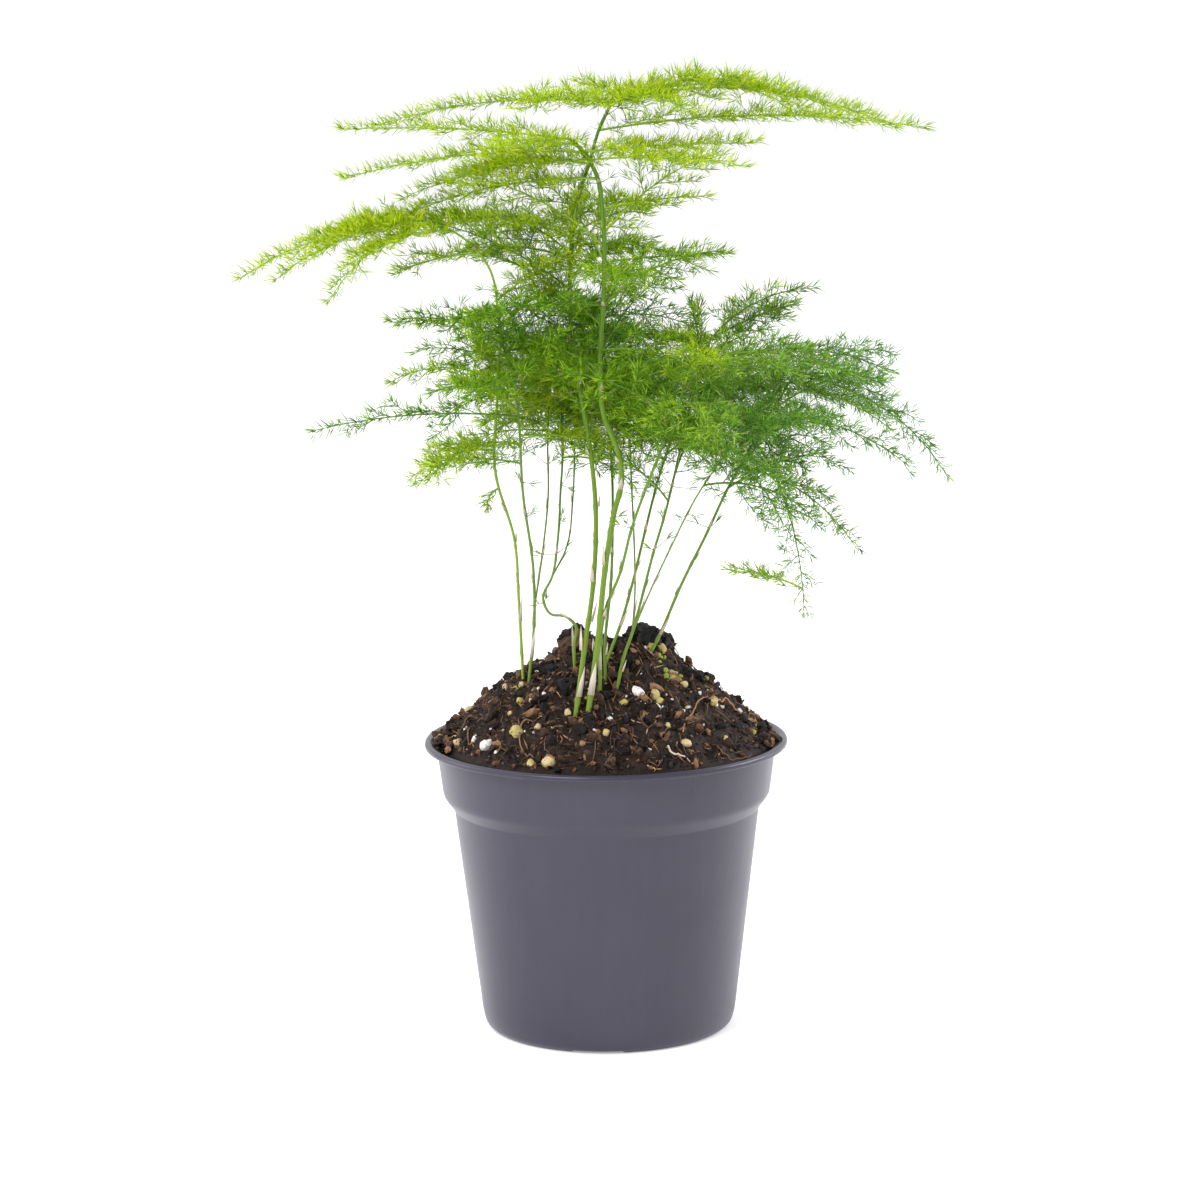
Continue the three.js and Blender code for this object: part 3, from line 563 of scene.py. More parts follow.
# %% Soil: damp peat
def earthen(name, grains, stops, finish, bump=None, squeeze=None, dirt=None):
    """A material coloured by its piece's shade, which is 0 if it has none, plus shares of grains of noise.

    The last grain also makes the bump: its strength and depth. Squeezed grain lies in layers. Dirt is a noise
    whose peaks turn the colour to that of soil.
    """
    material, tree = new_material(name)
    place = add_node(tree, "TexCoord").outputs["Object"]
    if squeeze:
        place = add_node(tree, "Mapping", {"Vector": place} | squeeze)
    tone = add_node(tree, "Attribute", attribute_name="shade").outputs["Fac"]
    for share, grain in grains:
        speckle = add_node(tree, "TexNoise", {"Vector": place} | grain)
        tone = add_node(tree, "Math", {0: speckle, 1: share, 2: tone}, operation="MULTIPLY_ADD")
    colour = add_node(tree, "ValToRGB", {"Fac": tone}, stops)
    if dirt:
        peaks = add_node(tree, "TexNoise", {"Vector": place} | dirt)
        cover = add_node(tree, "MapRange", {"Value": peaks, "From Min": 0.6, "From Max": 0.68})
        colour = add_node(tree, "Mix", {0: cover, 6: colour, 7: "#3d2b1c"}, data_type="RGBA").outputs[2]
    if bump:
        raised = add_node(tree, "Bump", {"Height": speckle, "Strength": bump[0], "Distance": bump[1]})
        finish = finish | {"Normal": raised}
    surface = add_node(tree, "BsdfPrincipled", {"Base Color": colour} | finish)
    add_node(tree, "OutputMaterial", {"Surface": surface})
    return material


# Damp sphagnum peat: almost black in the hollows, brown and dull where it has dried. Its patches of drier
# peat are 8 mm wide, and its fibres 0.6 mm.
peat = earthen(
    "damp_peat",
    [
        (0.45, {"Scale": 125.0, "Detail": 6.0, "Roughness": 0.65}),
        (0.55, {"Scale": 1100.0, "Detail": 3.0, "Distortion": 2.0}),
    ],
    [(0.38, "#0a0705"), (0.55, "#1e140d"), (0.75, "#452f20"), (1.0, "#94704e")],
    {"Roughness": 0.7, "Specular IOR Level": 0.3},
    (0.6, 0.0007),
)
heap_vertices, heap_faces = heap_mesh()
heap_shade = {"shade": np.full(len(heap_vertices), 0.05)}
make_piece("soil_heap", heap_vertices, heap_faces, peat, "soil", heap_shade)

# %% [markdown]
# ### Crumbs and lumps
# A crumb could be a small sphere, but real ones are broken. Each starts as a ball of a few triangles whose
# corners are moved in or out at random, is squashed in one direction and turned. Large ones get more
# triangles.

# %% Soil: a rule for broken lumps
def ball(splits):
    """A ball of even triangles, of radius 1, as (vertices, faces)."""
    long, short = 0.850651, 0.525731
    points = [(0, a * short, b * long) for a in (-1, 1) for b in (-1, 1)]
    points += [(a * short, b * long, 0) for a in (-1, 1) for b in (-1, 1)]
    points += [(b * long, 0, a * short) for a in (-1, 1) for b in (-1, 1)]
    points = np.array(points)
    near = np.linalg.norm(points[:, None] - points, axis=-1) < 1.2
    faces = [
        (i, j, k) for i in range(12) for j in range(i + 1, 12) for k in range(j + 1, 12)
        if near[i, j] and near[j, k] and near[i, k]
    ]
    faces = np.array([f if np.linalg.det(points[list(f)]) > 0 else f[::-1] for f in faces])
    for _ in range(splits):
        a, b, c = points[faces].transpose(1, 0, 2)
        ab, bc, ca = unit(a + b), unit(b + c), unit(c + a)
        corners = np.stack([a, ab, ca, ab, b, bc, ca, bc, c, ab, bc, ca], 1).reshape(-1, 3)
        _, first, number = np.unique(corners.round(5), axis=0, return_index=True, return_inverse=True)
        points, faces = corners[first], number.reshape(-1, 3)
    return points, faces


def turns(count):
    """Random turns, as matrices."""
    first, second = unit(chance.normal(size=(2, count, 3)))
    second = unit(second - (first * second).sum(-1, keepdims=True) * first)
    return np.stack([first, second, np.cross(first, second)], -1)


def lumps(centres, sizes, splits, broken, squash=(1.0, 1.0, 1.0)):
    """Broken lumps of the given widths, as (vertices, faces), with the lump number of each vertex."""
    centres, sizes = np.asarray(centres, float), np.asarray(sizes, float)
    points, faces = ball(splits)
    count = len(centres)
    reach = 1 + broken * chance.normal(size=(count, len(points), 1)).clip(-2, 2)
    stretch = np.array(squash) * chance.uniform(0.75, 1.25, (count, 1, 3))
    shaped = points * reach * stretch * sizes[:, None, None] / 2
    vertices = np.einsum("nvk,njk->nvj", shaped, turns(count)) + centres[:, None]
    owner = np.repeat(np.arange(count), len(points))
    return vertices.reshape(-1, 3), copies(faces, count, len(points)), owner


def strewn(count, reach=53.0):
    """Random places on the heap, even over its area."""
    turn, r = chance.uniform(0, 2 * np.pi, count), reach * np.sqrt(chance.uniform(0, 1, count))
    return on_heap(r * np.cos(turn), r * np.sin(turn))


# %% Soil: crumbs
SPILT_FROM, SPILT_TO = 50.5, 57.0
PALE_CRUMBS, PALER = 0.12, 0.45


def spilt(count):
    """Places where soil has spilt between heap and lip, at the sides and the back."""
    turn = chance.uniform(-0.35, np.pi + 0.35, count)
    r = chance.uniform(SPILT_FROM, SPILT_TO, count)
    high = POT_HEIGHT - 1.0 + (SPILT_TO - r) * chance.uniform(0.2, 0.75, count)
    return np.column_stack([r * np.cos(turn), r * np.sin(turn), high])


def make_crumbs(name, count, smallest, largest, splits, broken, spill):
    """Crumbs on the heap and in the spill. Most are small and dark, and one in eight is dry and pale. Each
    crumb's top is painted lighter and its underside darker, as painted light from above.
    """
    places = np.concatenate([strewn(count), spilt(spill)])
    count = count + spill
    sizes = smallest * (largest / smallest) ** (chance.uniform(0, 1, count) ** 1.6)
    places[:, 2] += sizes * chance.uniform(-0.1, 0.35, count)
    vertices, faces, owner = lumps(places, sizes, splits, broken, (1.25, 0.85, 0.6))
    pale = np.where(chance.uniform(0, 1, count) < PALE_CRUMBS, PALER, 0.0)
    shade = (chance.uniform(-0.15, 0.3, count) + pale)[owner]
    # Painted light: the upper side of each crumb is lighter and the lower side darker, as if lit from above.
    shade = shade + 0.2 * (vertices[:, 2] - places[owner, 2]) / sizes[owner]
    make_piece(name, vertices, faces, peat, None, {"shade": shade}, smooth=False)


make_crumbs("peat_crumbs", 2900, 0.7, 2.0, 0, 0.28, 420)
make_crumbs("peat_clods", 520, 1.8, 4.4, 1, 0.2, 130)

# %% [markdown]
# ### Bark, perlite, grains of feed and roots
# What catches the eye in the soil is what isn't peat: chunks of bark in the old plug, crumbs of white
# perlite, and yellow balls of slow-release feed, some green with algae. The ones the photograph shows are
# placed one by one, and others are strewn over the sides that it doesn't show.

# %% Soil: bark
# Chunks of bark: x, y, height over the heap, width, height as a share of it, and how pale they are.
BARK = [
    (-11.5, -3.5, 0.2, 7.0, 1.5, 0.42), (-8.5, -5.5, -0.2, 5.5, 1.3, 0.5), (-12.5, 1.0, 0.5, 6.5, 1.0, 0.2),
    (-5.5, -3.0, -1.5, 6.0, 0.9, 0.1), (-9.0, 6.0, 1.0, 7.0, 0.8, 0.1), (-1.0, 6.0, 0.0, 7.0, 0.7, 0.0),
    (5.0, 6.0, 0.0, 8.0, 0.7, 0.0), (10.5, -2.0, 0.2, 7.5, 1.3, -0.1), (14.5, -5.5, 0.0, 8.0, 1.1, -0.12),
    (16.5, 0.0, 0.4, 8.0, 1.35, -0.08), (19.5, -3.0, 0.5, 6.0, 1.1, 0.0), (20.5, 3.0, 1.0, 6.5, 1.0, 0.25),
    (12.0, 9.0, -0.4, 9.0, 0.8, 0.0), (1.0, 13.0, 0.5, 8.0, 0.7, 0.1), (25.0, -7.0, 0.5, 7.0, 0.8, -0.05),
    (29.0, -1.0, 0.6, 6.0, 0.8, 0.0), (-22.0, -5.0, 0.8, 7.0, 0.9, -0.1),
    (-18.0, -8.0, 0.6, 6.0, 0.8, -0.1), (-14.0, -13.0, 0.3, 6.0, 0.7, 0.0),
    (-25.0, 2.0, 0.5, 6.0, 0.8, 0.1), (-30.0, 12.0, 0.5, 7.0, 0.6, 0.0), (22.0, 20.0, 0.5, 8.0, 0.7, 0.2),
    (-12.0, 30.0, 0.3, 7.0, 0.6, 0.1), (43.0, 2.0, 0.6, 4.5, 0.9, -0.05), (8.0, -40.0, 0.2, 4.0, 0.6, 0.3),
    (-36.0, -20.0, 0.2, 4.5, 0.6, 0.0),
]
BARK_CHIPS, BARK_DEPTH = 150, 0.85
# A chunk is torn at three scales, which leaves ridges and notches as in broken bark: how far, and how fine.
TORN = [(1.5, 0.3), (0.9, 0.75), (0.5, 1.7)]


def make_bark():
    x, y, over, width, tall, pale = np.array(BARK, float).T
    places = on_heap(x, y)
    places[:, 2] += over
    vertices, faces, owner = lumps(places * 0, width, 3, 0.03)
    stretch = np.column_stack([np.ones(len(BARK)), np.full(len(BARK), BARK_DEPTH), tall])
    vertices = vertices * stretch[owner] + places[owner]
    torn = [sum(reach * np.array(noise.noise_vector(v * fine)) for reach, fine in TORN) for v in vertices]
    vertices = vertices + np.array(torn)
    chips = strewn(BARK_CHIPS)
    small = lumps(chips, chance.uniform(1.5, 4.2, BARK_CHIPS), 1, 0.14, (1.4, 0.9, 0.3))
    shade = np.concatenate([pale[owner], chance.uniform(-0.1, 0.5, BARK_CHIPS)[small[2]]])
    vertices, faces = joined([(vertices, faces), small[:2]])
    # Composted pine bark: layered, split, dark with tan edges.
    bark = earthen(
        "composted_bark",
        [(0.6, {"Scale": 420.0, "Detail": 6.0, "Roughness": 0.7})],
        [(0.2, "#0f0c0b"), (0.5, "#231a15"), (0.75, "#5a3f2a"), (1.0, "#9a7b52")],
        {"Roughness": 0.75},
        (0.8, 0.001),
        squeeze={"Scale": (1.0, 1.0, 3.5), "Rotation": (0.5, 0.3, 0.2)},
    )
    make_piece("bark_chunks", vertices, faces, bark, None, {"shade": shade}, smooth=False)


make_bark()

# %% Soil: perlite and feed
# White crumbs of perlite: x, y, width.
PERLITE = [
    (-38.9, -30.9, 4.6), (10.5, -27.1, 3.4), (27.1, -23.0, 3.0), (16.9, -30.7, 2.2), (44.0, -1.8, 2.4),
    (-5.5, -42.3, 1.7), (13.1, -9.3, 2.0), (9.5, -6.5, 1.2), (-35.5, -35.5, 1.8), (-20.0, -24.0, 1.5),
]
# Balls of feed: x, y, width, and from 0 tan to 1 green.
FEED = [
    (-45.2, 2.6, 2.8, 0.3), (-31.1, -23.0, 2.6, 0.3), (-27.9, -21.1, 2.2, 0.7), (-24.3, -24.0, 1.6, 0.3),
    (-12.2, -33.2, 2.8, 0.2), (5.9, -31.8, 2.6, 0.6), (15.7, -26.3, 4.4, 0.35), (17.6, -27.6, 2.6, 0.6),
    (21.8, -12.0, 3.4, 0.6), (35.0, -18.1, 3.2, 0.4), (25.7, -39.9, 3.2, 0.15), (0.0, -43.1, 2.4, 0.4),
    (-28.8, -35.1, 3.8, 0.45), (-30.2, -33.4, 2.2, 0.8), (-18.4, -48.1, 4.0, 0.3), (-24.2, -46.3, 3.0, 0.5),
    (-48.4, -17.2, 2.8, 0.15), (-50.0, -8.0, 2.8, 0.1), (20.0, -35.8, 2.2, 0.5), (14.8, -50.7, 1.8, 0.5),
    (-21.9, -35.4, 2.8, 0.05), (-33.0, -6.2, 2.6, 0.1), (-29.6, -9.9, 2.8, 0.6), (-27.5, -12.0, 2.4, 0.3),
    (25.7, -14.8, 2.8, 0.3), (31.0, 3.1, 3.4, 0.7), (33.0, 1.0, 2.4, 0.9), (18.5, -6.0, 3.6, 0.5),
    (14.5, -8.5, 2.6, 0.5), (-6.0, -30.0, 1.8, 0.4), (48.0, -12.0, 2.2, 0.9), (-8.0, -46.0, 1.6, 0.5),
    (38.5, -29.0, 1.8, 0.4),
]
# Where algae have grown: x, y.
ALGAE = [(17.5, -10.5), (20.0, -14.5), (24.0, -12.5), (31.5, 0.0), (49.0, -6.0), (-28.0, -11.0)]
PERLITE_DUST, PERLITE_MORE, FEED_BEHIND, ALGAE_EACH = 125, 25, 16, 7


def make_perlite():
    x, y, width = np.array(PERLITE, float).T
    places = np.concatenate([on_heap(x, y), strewn(PERLITE_DUST + PERLITE_MORE)])
    dust, more = chance.uniform(0.4, 1.1, PERLITE_DUST), chance.uniform(1.2, 2.4, PERLITE_MORE)
    widths = np.concatenate([width, dust, more])
    places[:, 2] += widths * 0.2
    vertices, faces, _ = lumps(places, widths, 1, 0.12, (1.2, 0.85, 0.7))
    # Expanded perlite: volcanic glass popped into white foam, chalky, with a few stained pits.
    foam = earthen(
        "expanded_perlite",
        [(1.0, {"Scale": 1500.0, "Detail": 4.0})],
        [(0.32, "#8d8273"), (0.45, "#e6e2da"), (0.7, "#fbfaf6")],
        {"Roughness": 0.9},
        (0.6, 0.0004),
    )
    make_piece("perlite_crumbs", vertices, faces, foam, None, smooth=False)


def make_feed():
    """The balls that the photograph shows, as many on the far side, and small green ones of algae."""
    n = FEED_BEHIND
    turn, r = chance.uniform(0.1, np.pi - 0.1, n), chance.uniform(15, 50, n)
    size, tint = chance.uniform(1.8, 3.8, n), chance.uniform(0, 0.8, n)
    more = np.column_stack([r * np.cos(turn), r * np.sin(turn), size, tint])
    n = ALGAE_EACH * len(ALGAE)
    green = np.repeat(np.array(ALGAE), ALGAE_EACH, 0) + chance.normal(0, 1.4, (n, 2))
    green = np.column_stack([green, chance.uniform(0.8, 2.0, n), chance.uniform(0.9, 1.3, n)])
    x, y, width, ripe = np.concatenate([np.array(FEED), more, green]).T
    places = on_heap(x, y)
    places[:, 2] += width * 0.18
    vertices, faces, owner = lumps(places, width, 2, 0.03, (1.1, 0.9, 0.95))
    dents = np.array([noise.noise_vector(v * 0.55) for v in vertices])
    vertices = vertices + 0.16 * width[owner, None] * dents
    # Resin-coated feed: smooth tan balls, some green with algae, speckled with soil.
    resin = earthen(
        "resin_coated_feed",
        [(0.5, {"Scale": 520.0, "Detail": 4.0})],
        [(0.1, "#a5825a"), (0.35, "#cdb78c"), (0.65, "#b9ab5e"), (0.95, "#87982c")],
        {"Roughness": 0.5, "Subsurface Weight": 0.15, "Subsurface Scale": 0.001},
        dirt={"Scale": 1100.0, "Detail": 2.0},
    )
    make_piece("feed_balls", vertices, faces, resin, None, {"shade": ripe[owner] * 0.7})


make_perlite()
make_feed()

# %% [markdown]
# Roots and fibres are tubes along curved lines. The long pale ones in front are drawn through the places
# where the photograph shows them; the short brown ones are peat fibres, strewn flat over the heap.

# %% Soil: roots and fibres
# Roots: points x, y and height over the heap, then width and paleness.
ROOTS = [
    ([(24.8, -37.0, 0.1), (26.5, -31, 1.2), (29.6, -24.8, 2.2), (35.0, -18.1, 2.6)], 0.55, 0.72),
    ([(35, -18.1, 2.4), (40.7, -10.8, 2.6), (43.5, -9.8, 1.8), (45.7, -9.5, 0.6), (52, -1, 1.2)], 0.55, 0.75),
    (
        [(-23.6, -31.7, 0.4), (-26.5, -33.5, 1.4), (-27.8, -35.9, 1), (-26, -42, 1), (-22.3, -46, 0.5)],
        0.5, 0.7,
    ),
    ([(19.8, -43.8, 0.6), (23.0, -45.2, 1.5), (26.8, -44.6, 0.2)], 0.7, 1.0),
    ([(36.0, -34.0, 0.4), (40.0, -36.5, 1.2), (43.0, -38.0, 2.0), (47.0, -37.0, 3.0)], 0.35, 0.6),
    ([(50.5, 3.0, 0.5), (48.5, 0.5, 2.0), (47.0, -3.5, 0.4)], 0.5, 0.6),
    ([(-43.5, -14.0, 0.3), (-45.0, -19.0, 1.5), (-44.0, -26.0, 0.2)], 0.35, 0.7),
    ([(-20.0, 30.0, 0.3), (-8.0, 36.0, 1.8), (6.0, 34.0, 1.2), (16.0, 40.0, 0.3)], 0.5, 0.65),
    ([(-40.0, 20.0, 0.3), (-36.0, 26.0, 1.5), (-30.0, 27.0, 0.3)], 0.45, 0.8),
]
FIBRES = 620
SLIVERS = 2300
FIBRE_STEPS, FIBRE_REACH = 5, 52.0


def make_roots():
    parts, shades = [], []
    for points, width, pale in ROOTS:
        line, _ = smooth_line(points, 1.0)
        path = on_heap(line[:, 0], line[:, 1])
        path[:, 2] += line[:, 2] + 0.15
        share = np.linspace(0, 1, len(path))
        parts.append(tubes([path], [width / 2 * (1 - 0.6 * share**2)], 6))
        shades.append(np.full(len(parts[-1][0]), pale))
    paths = [strewn(FIBRES, 51)]
    turn, bend = chance.uniform(0, 2 * np.pi, FIBRES), chance.normal(0, 0.35, FIBRES)
    lengths = chance.uniform(2.0, 9.0, FIBRES)
    for step in range(FIBRE_STEPS):
        way = heading(turn + bend * step, 0 * turn)[:, :2]
        after = paths[-1][:, :2] + way * lengths[:, None] / FIBRE_STEPS
        inside = np.minimum(1, FIBRE_REACH / np.maximum(np.hypot(*after.T), TINY))[:, None]
        paths.append(on_heap(*(after * inside).T))
    paths = np.stack(paths, 1)
    arch = np.sin(np.linspace(0.1, 2.9, FIBRE_STEPS + 1))
    paths[:, :, 2] += 0.25 + chance.uniform(0, 1.6, FIBRES)[:, None] * arch
    widths = chance.uniform(0.1, 0.24, (FIBRES, 1)) * np.array([0.8, 1, 1, 0.9, 0.7, 0.3])
    parts.append(tubes(paths, widths, 3))
    per_fibre = len(parts[-1][0]) // FIBRES
    shades.append(np.repeat(chance.uniform(0.05, 0.75, FIBRES) ** 1.3, per_fibre))
    # Slivers of wood and stalk lie along the surface, or stick up a little.
    spots = strewn(SLIVERS)
    ways = heading(chance.uniform(0, 2 * np.pi, SLIVERS), chance.normal(0.1, 0.4, SLIVERS))
    outward = unit(spots * np.array([1, 1, 0]))
    ways = unit(ways - UP * 0.55 * (ways * outward).sum(-1, keepdims=True))
    sizes = chance.uniform(1.2, 5.5, SLIVERS)
    spots = spots + UP * 0.45 - ways * sizes[:, None] / 2
    thin, bends = chance.uniform(0.12, 0.42, SLIVERS), chance.normal(0, 0.05, SLIVERS)
    parts.append(spindles(spots, ways, sizes, thin, bends))
    shades.append(np.repeat(chance.uniform(0, 1, SLIVERS) ** 2.0 * 0.85, 5))
    vertices, faces = joined(parts)
    # Dry root skin: tan to reddish brown, matt, with a pale core showing at the thin ends.
    stops = [(0.0, "#180f09"), (0.4, "#4a301f"), (0.75, "#a37c55"), (1.0, "#ddcfb6")]
    skin = earthen("dry_root_fibre", [], stops, {"Roughness": 0.7})
    numbers = {"shade": np.concatenate(shades)}
    make_piece("roots_and_fibres", vertices, faces, skin, None, numbers, smooth=False)


make_roots()

# %% [markdown]
# ## The fern
# Ten stems leave the soil, and some fork. Each line of the table below is the middle of a stem, from the
# soil up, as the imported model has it, so that every fine stem runs inside its own solid one. A smooth
# curve through the points makes it a plant again.

# %% Fern: stems and fronds
# A stem is its radii below and above, its own freshness, its sprays and its routes. A route is its points
# and its fronds, each a frond's (point it leaves from, azimuth, length, rise, fall, half width as a share
# of the length). Sprays fill the thicket: (route, from and to which point, how many, length).
STEMS = {
    "leafy_stem_far_left": ((0.72, 0.45), 0.6, [(0, 3.0, 5.6, 5, 30)], [
        ([(-27, -5, 0), (-28, -6, 144), (-29, -7, 164), (-35, -9, 188), (-34, -10, 211), (-33, -12, 237),
          (-36, -14, 255), (-46, -16, 266), (-56, -17, 270)],
         [(8, 192, 42, -12, -60, 0.4), (7.6, 176, 66, 4, -34, 0.36), (5, 185, 34, 4, -2, 0.2),
          (4.2, 165, 38, 26, -30, 0.45), (3.3, 236, 40, 12, -34, 0.45), (6.3, 138, 38, -4, -20, 0.4),
          (4.9, 5, 28, 42, 24, 0.35), (7.8, 184, 53, 2, -40, 0.42), (7.3, 158, 46, 10, -24, 0.42),
          (7.1, 208, 40, 6, -34, 0.42), (2.7, 180, 7, -20, -88, 0.1)]),
    ]),
    "leafy_stem_left": ((0.75, 0.45), 0.2, [(0, 3.2, 6.0, 8, 36), (1, 2.8, 5.0, 6, 34)], [
        ([(-25, -8.5, 0), (-23, -8, 138), (-23, -10, 154), (-26, -16, 182), (-27, -20, 207),
          (-29, -22, 222), (-32, -23, 232)],
         [(6, 168, 34, 38, -10, 0.45), (4, 188, 66, 8, -12, 0.22), (3.6, 216, 38, 18, -40, 0.45),
          (4.8, 250, 42, 12, -12, 0.5)]),
        ([(-22.8, -8.2, 143), (-20, -2, 160), (-18, 4, 178), (-18, 9, 195), (-17, 13, 212), (-16, 16, 224)],
         [(5, 120, 46, 15, -15, 0.45), (4, 160, 42, 10, -18, 0.45), (3, 75, 40, 8, -20, 0.45)]),
    ]),
    "leafy_stem_kinked": ((0.7, 0.42), 0.12, [(0, 8.4, 11.0, 6, 34), (1, 2.8, 5.0, 6, 34)], [
        ([(-10, -15, 0), (-10, -15, 131), (-9.5, -15, 137.5), (-13, -14.5, 140.5), (-17.5, -13.5, 141),
          (-20, -12, 146), (-17, -9, 152.5), (-15, -4, 164), (-14, 3, 178), (-13, 10, 195), (-14, 15, 207),
          (-16, 18, 218)],
         [(11, 140, 46, 40, -8, 0.45), (10, 200, 42, 26, -34, 0.42), (9.3, 68, 42, 8, -20, 0.45)]),
        ([(-17, -9, 152.5), (-12, 2, 161), (-10, 14, 175), (-9, 30, 195), (-8, 36, 208), (-9, 42, 220)],
         [(5, 102, 46, 12, -20, 0.45), (4, 64, 46, 8, -22, 0.45), (3.4, 135, 46, 5, -25, 0.45)]),
    ]),
    "leafy_stem_tallest": ((0.95, 0.55), 0.14, [(0, 4.4, 7.2, 13, 44)], [
        ([(-9.5, -34, 0), (-6.5, -32, 134), (-3.5, -28, 154), (-2.5, -24, 178), (-4, -20, 196),
          (-7, -15, 215), (-10, -8, 245), (-9, -4, 262), (-7, -2, 275), (-3, 0, 287), (0, 2, 297),
          (5, 4, 307)],
         [(11, -8, 94, 16, -26, 0.36), (10.95, 174, 77, 7, -17, 0.17), (10.0, 4, 106, 9, -10, 0.2),
          (10.8, -62, 52, 16, -16, 0.42), (10.7, 84, 58, 14, -18, 0.42), (10.9, -125, 50, 16, -14, 0.4),
          (7.2, 179, 84, 14, -18, 0.4), (7.6, 60, 48, 14, -16, 0.42), (6.6, 130, 58, 12, -18, 0.42),
          (5.6, 30, 46, 20, -25, 0.42), (11.05, -15, 62, 22, -18, 0.4)]),
    ]),
    "leafy_stem_thickest": ((1.0, 0.7), 0.18, [(0, 6.2, 8.9, 13, 44)], [
        ([(-5.5, -35, 0), (-2.5, -33.5, 134), (0.5, -31, 160), (3.5, -29.5, 177), (6, -28, 187),
          (5, -27, 196), (0.5, -25, 208), (-0.5, -22, 222), (1, -18, 247), (1, -14, 270), (-1, -10.5, 284),
          (-5, -9, 291), (-9, -8, 295)],
         [(12, 184, 73, 9, -2, 0.18), (11, -8, 56, 6, 0, 0.36), (10.5, -32, 56, 8, -8, 0.36),
          (11.3, 235, 48, 12, -10, 0.42), (9.2, 12, 34, 10, 0, 0.1), (8.4, 18, 42, 5, -3, 0.1),
          (9.8, 172, 82, 2, -30, 0.34), (10.9, 186, 78, 4, -14, 0.2), (8.3, -85, 44, 10, -15, 0.5),
          (7.8, 205, 50, 10, -12, 0.45), (7.2, -35, 46, 12, -30, 0.45), (10.6, 177, 62, 2, -24, 0.34),
          (10.3, 152, 54, 10, -24, 0.4)]),
    ]),
    "leafy_stem_rear": ((0.72, 0.45), 0.05, [(0, 4.4, 7.0, 7, 38)], [
        ([(0, -22, 0), (0, -20, 132), (2, -14, 149), (3, -3, 168), (3, 8, 185), (2, 17, 198), (1, 23, 210),
          (0, 26, 222)],
         [(7, 75, 52, 20, -15, 0.45), (6, 112, 48, 8, -22, 0.45), (5, 0, 44, 5, -20, 0.4)]),
    ]),
    "leafy_stem_right_rear": ((0.72, 0.45), 0.15, [(0, 4.8, 8.0, 9, 42)], [
        ([(2, -13, 0), (5, -9, 136), (9, -3, 148), (13, 6, 162), (17, 14, 176), (21, 20, 188),
          (27, 27, 201), (33, 32, 214), (37, 36, 226)],
         [(8, 8, 38, 50, 2, 0.45), (7, -12, 66, 28, -26, 0.42), (6.4, 65, 50, 10, -20, 0.45),
          (5.4, 30, 55, 5, -28, 0.45), (7.5, 100, 44, 12, -12, 0.45)]),
    ]),
    "leafy_stem_right_front": ((0.75, 0.45), 0.2, [(0, 4.4, 7.0, 6, 38)], [
        ([(-2, -29.5, 0), (0.5, -30, 146), (5, -30.5, 157), (9, -31.5, 172), (14, -33, 186), (20, -34, 201),
          (25, -36, 214), (28, -37, 227)],
         [(7, -18, 60, 22, -30, 0.45), (6, -78, 51, 5, -20, 0.45), (6.5, 25, 44, 12, -12, 0.4),
          (5.2, -40, 50, 0, -35, 0.45)]),
    ]),
    "leafy_stem_forked": ((0.78, 0.42), 0.15, [(0, 5, 8, 6, 38), (1, 3, 5, 5, 34), (2, 3.4, 6, 5, 38)], [
        ([(4, -25, 0), (6, -22, 128), (9, -20, 136), (12, -16.5, 146), (16, -11, 160), (20, -6, 172),
          (24, -1, 187), (28, 4, 203), (32, 8, 217)],
         [(8, 0, 64, 12, -26, 0.42), (7, -25, 58, 4, -34, 0.42), (7.5, 55, 46, 10, -20, 0.45)]),
        ([(9, -20, 136), (15, -21.5, 150), (22, -23, 165), (30, -25, 181), (39, -28, 195), (47, -31, 209)],
         [(5, -12, 56, 8, -40, 0.42), (4, -62, 42, -5, -45, 0.45), (4.5, 40, 36, 10, -10, 0.4)]),
        ([(9, -20, 136), (10, -12, 148), (10, -1, 162), (9.5, 14, 178), (9, 26, 193), (8, 34, 205),
          (8, 40, 216)],
         [(6, 74, 46, 10, -28, 0.45), (5, 42, 50, 5, -25, 0.45)]),
    ]),
    "leafy_stem_far_right": ((0.78, 0.45), 0.2, [(0, 3.8, 7.0, 9, 38)], [
        ([(15, -10, 0), (18, -9, 133), (25, -4, 148), (34, 1, 165), (41, 4.5, 179), (50, 9, 194),
          (57, 12, 205), (64, 15, 216)],
         [(7, -6, 62, -6, -60, 0.36), (6.9, 36, 42, 25, -12, 0.45), (5, -65, 66, -25, -88, 0.3),
          (4.4, -28, 50, -5, -55, 0.4), (5.6, 62, 46, 5, -25, 0.45), (6.4, -42, 46, 5, -30, 0.45)]),
    ]),
}
# The two front stems carry no sprays towards the camera, as in the photograph.
BARE_IN_FRONT = ("leafy_stem_tallest", "leafy_stem_thickest")
# A bright spray hangs from a frond: frond number, share of its length, azimuth, length, rise, fall, half
# width.
HANGING = {"leafy_stem_far_right": (2, 0.84, 200, 26, 30, 4, 0.34)}
HANGING_FRESH = 0.6

# %% [markdown]
# A frond's midrib is an arc that rises and droops. Its branchlets leave it to the left and right by turns,
# as on the real plant, longest a third of the way along, and curl in towards the tip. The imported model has
# every third of them, so the fine ones lie in the same flat spray.

# %% Fern: the rule of a frond
BRANCHLET_EVERY, FINER, LEAST_BRANCHLETS = 15.0, 3, 3
BRANCHLET_LEAST, BRANCHLET_STEPS = 3.0, 4
LONGEST_AT, SLENDER_TIP = 0.3, 0.95
OPEN_AT_BASE, OPEN_AT_TIP, CURVE_IN = 66.0, 42.0, 14.0
DROOP = 10.0
MIDRIB_RADIUS, BRANCHLET_RADIUS, TWIG_RADIUS = 0.4, 0.22, 0.14


def branchlets_on(length):
    """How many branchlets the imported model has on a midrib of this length."""
    return max(LEAST_BRANCHLETS, round(length / BRANCHLET_EVERY))


